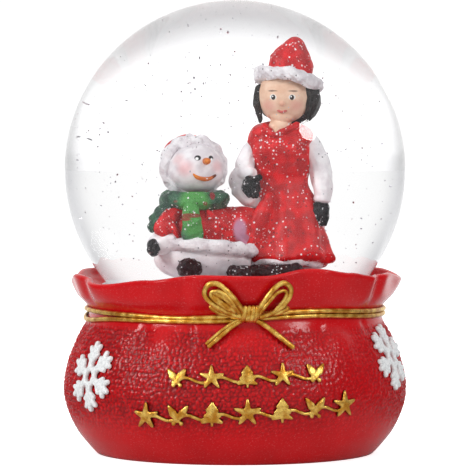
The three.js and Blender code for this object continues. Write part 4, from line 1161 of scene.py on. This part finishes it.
cast("frock", "girl_dress", frock, 0.17, RED, "red_figure", (0.16, 1.8, 28))
hem = [hoop((9, -0.5, 49.3), 6, 0.85, (0, 0, 0), (1.05, 0.86, 1))]
cast("hem", "girl_hem_fur", hem, 0.14, FUR, "white_fur", (0.16, 0.9, 29))
boots = [roll([(3.4, -6, 47.1), (7, -6.2, 46.9), (11.6, -6, 47)], [1.7, 1.8, 1.8])]
boots += [ball((x, -7, 46.6), (1.5, 1.0, 1.3)) for x in (4.4, 7.4, 10)]
cast("boots", "girl_boots", boots, 0.13, BLACK, "black_figure", (0.22, 0.9, 30))

# ---- The glitter: small flakes of silver foil, punched as hexagons, that drift in the water. They are poured
# in with it before the stopper closes the neck.
FLAKES = 800
WATER_R = 36.5  # radius of the room that flakes drift in
FIGURE_ROOM = [
    ((9.5, -1, 62), (9, 8, 30)), ((-7, -4, 56), (11, 9, 18)), ((10, 0, 46), (14, 14, 5)),
]  # ellipsoids round the figures that flakes stay out of: [middle, half-sizes]


def clear_of_figures(points):
    clear = np.ones(len(points), bool)
    for centre, size in FIGURE_ROOM:
        clear &= np.linalg.norm((points - centre) / np.array(size), axis=1) > 1
    return clear


def glitter():
    """All the flakes as one mesh: each is a hexagon with a slightly raised middle on both faces."""
    random = np.random.default_rng(11)
    spots = random.uniform(-WATER_R, WATER_R, (FLAKES * 5, 3))
    spots = spots[np.linalg.norm(spots, axis=1) < WATER_R] + (0, 0, GLOBE_Z)
    spots = spots[(spots[:, 2] > 47) & clear_of_figures(spots)][:FLAKES]
    angles = np.arange(6) / 6 * 2 * math.pi
    hexagon = np.column_stack([np.cos(angles), np.sin(angles), 0 * angles])
    points = []
    faces = []
    for spot in spots:
        turn = np.array(Euler(random.uniform(0, 6.28, 3)).to_matrix())
        r = random.uniform(0.1, 0.19)
        first = len(points) * 8
        points.append(np.concatenate([hexagon * r, [(0, 0, 0.02), (0, 0, -0.02)]]) @ turn.T + spot)
        for k in range(6):
            faces.append((first + k, first + (k + 1) % 6, first + 6))
            faces.append((first + (k + 1) % 6, first + k, first + 7))
    made, start, place = new_finish("silver_foil")
    hue = place.speckle(0.4)
    coat_with(start, Base_Color=hue.mix(tint("b9c0c6"), tint("d6ccd2")), Roughness=0.3, Metallic=0.85)
    piece = new_piece("glitter", np.concatenate(points), faces, made, "snow")
    piece.data.shade_flat()


glitter()

# ---- The underside and the light unit: a bottom plate, a battery case and its door, moulded in white
# plastic, with screws, a slide switch, three cells and a lamp on a small board, which are bought parts.


def moulding(name, low, high, roughness=0.45, metallic=0.0):
    """A plain finish between two close colours, with a fine grain."""
    made, start, place = new_finish(name)
    cloud = place.speckle(1.5, 3.0)
    colour = cloud.step(0.35, 0.65).mix(tint(low), tint(high))
    rough = roughness + cloud * 0.08
    coat_with(start, relief=cloud, height=0.03, Base_Color=colour, Roughness=rough, Metallic=metallic)
    return made


SCREWS = ["plate_screw_1", "plate_screw_2", "plate_screw_3", "door_screw"]
CELLS = ["battery_cell_1", "battery_cell_2", "battery_cell_3"]
dress(moulding("white_abs", "dedcd6", "e8e7e2"), "bottom_plate", "battery_case", "battery_door")
dress(moulding("zinc_steel", "a9acb0", "c3c6ca", roughness=0.25, metallic=1.0), *SCREWS, "contact_spring")
dress(moulding("cell_steel", "bfc2c4", "d4d6d8", roughness=0.2, metallic=1.0), *CELLS)
dress(moulding("board_green", "14532c", "1f6b3a"), "light_board")
dress(moulding("lamp_epoxy", "dfe6ea", "eef3f6", roughness=0.08), "led_lamp")
dress(moulding("black_abs", "131315", "1e1e21"), "switch_body", "switch_knob")
dress(moulding("red_sleeve", "9c141b", "b01820"), "lead_red")
dress(moulding("black_sleeve", "101012", "18181a"), "lead_black")
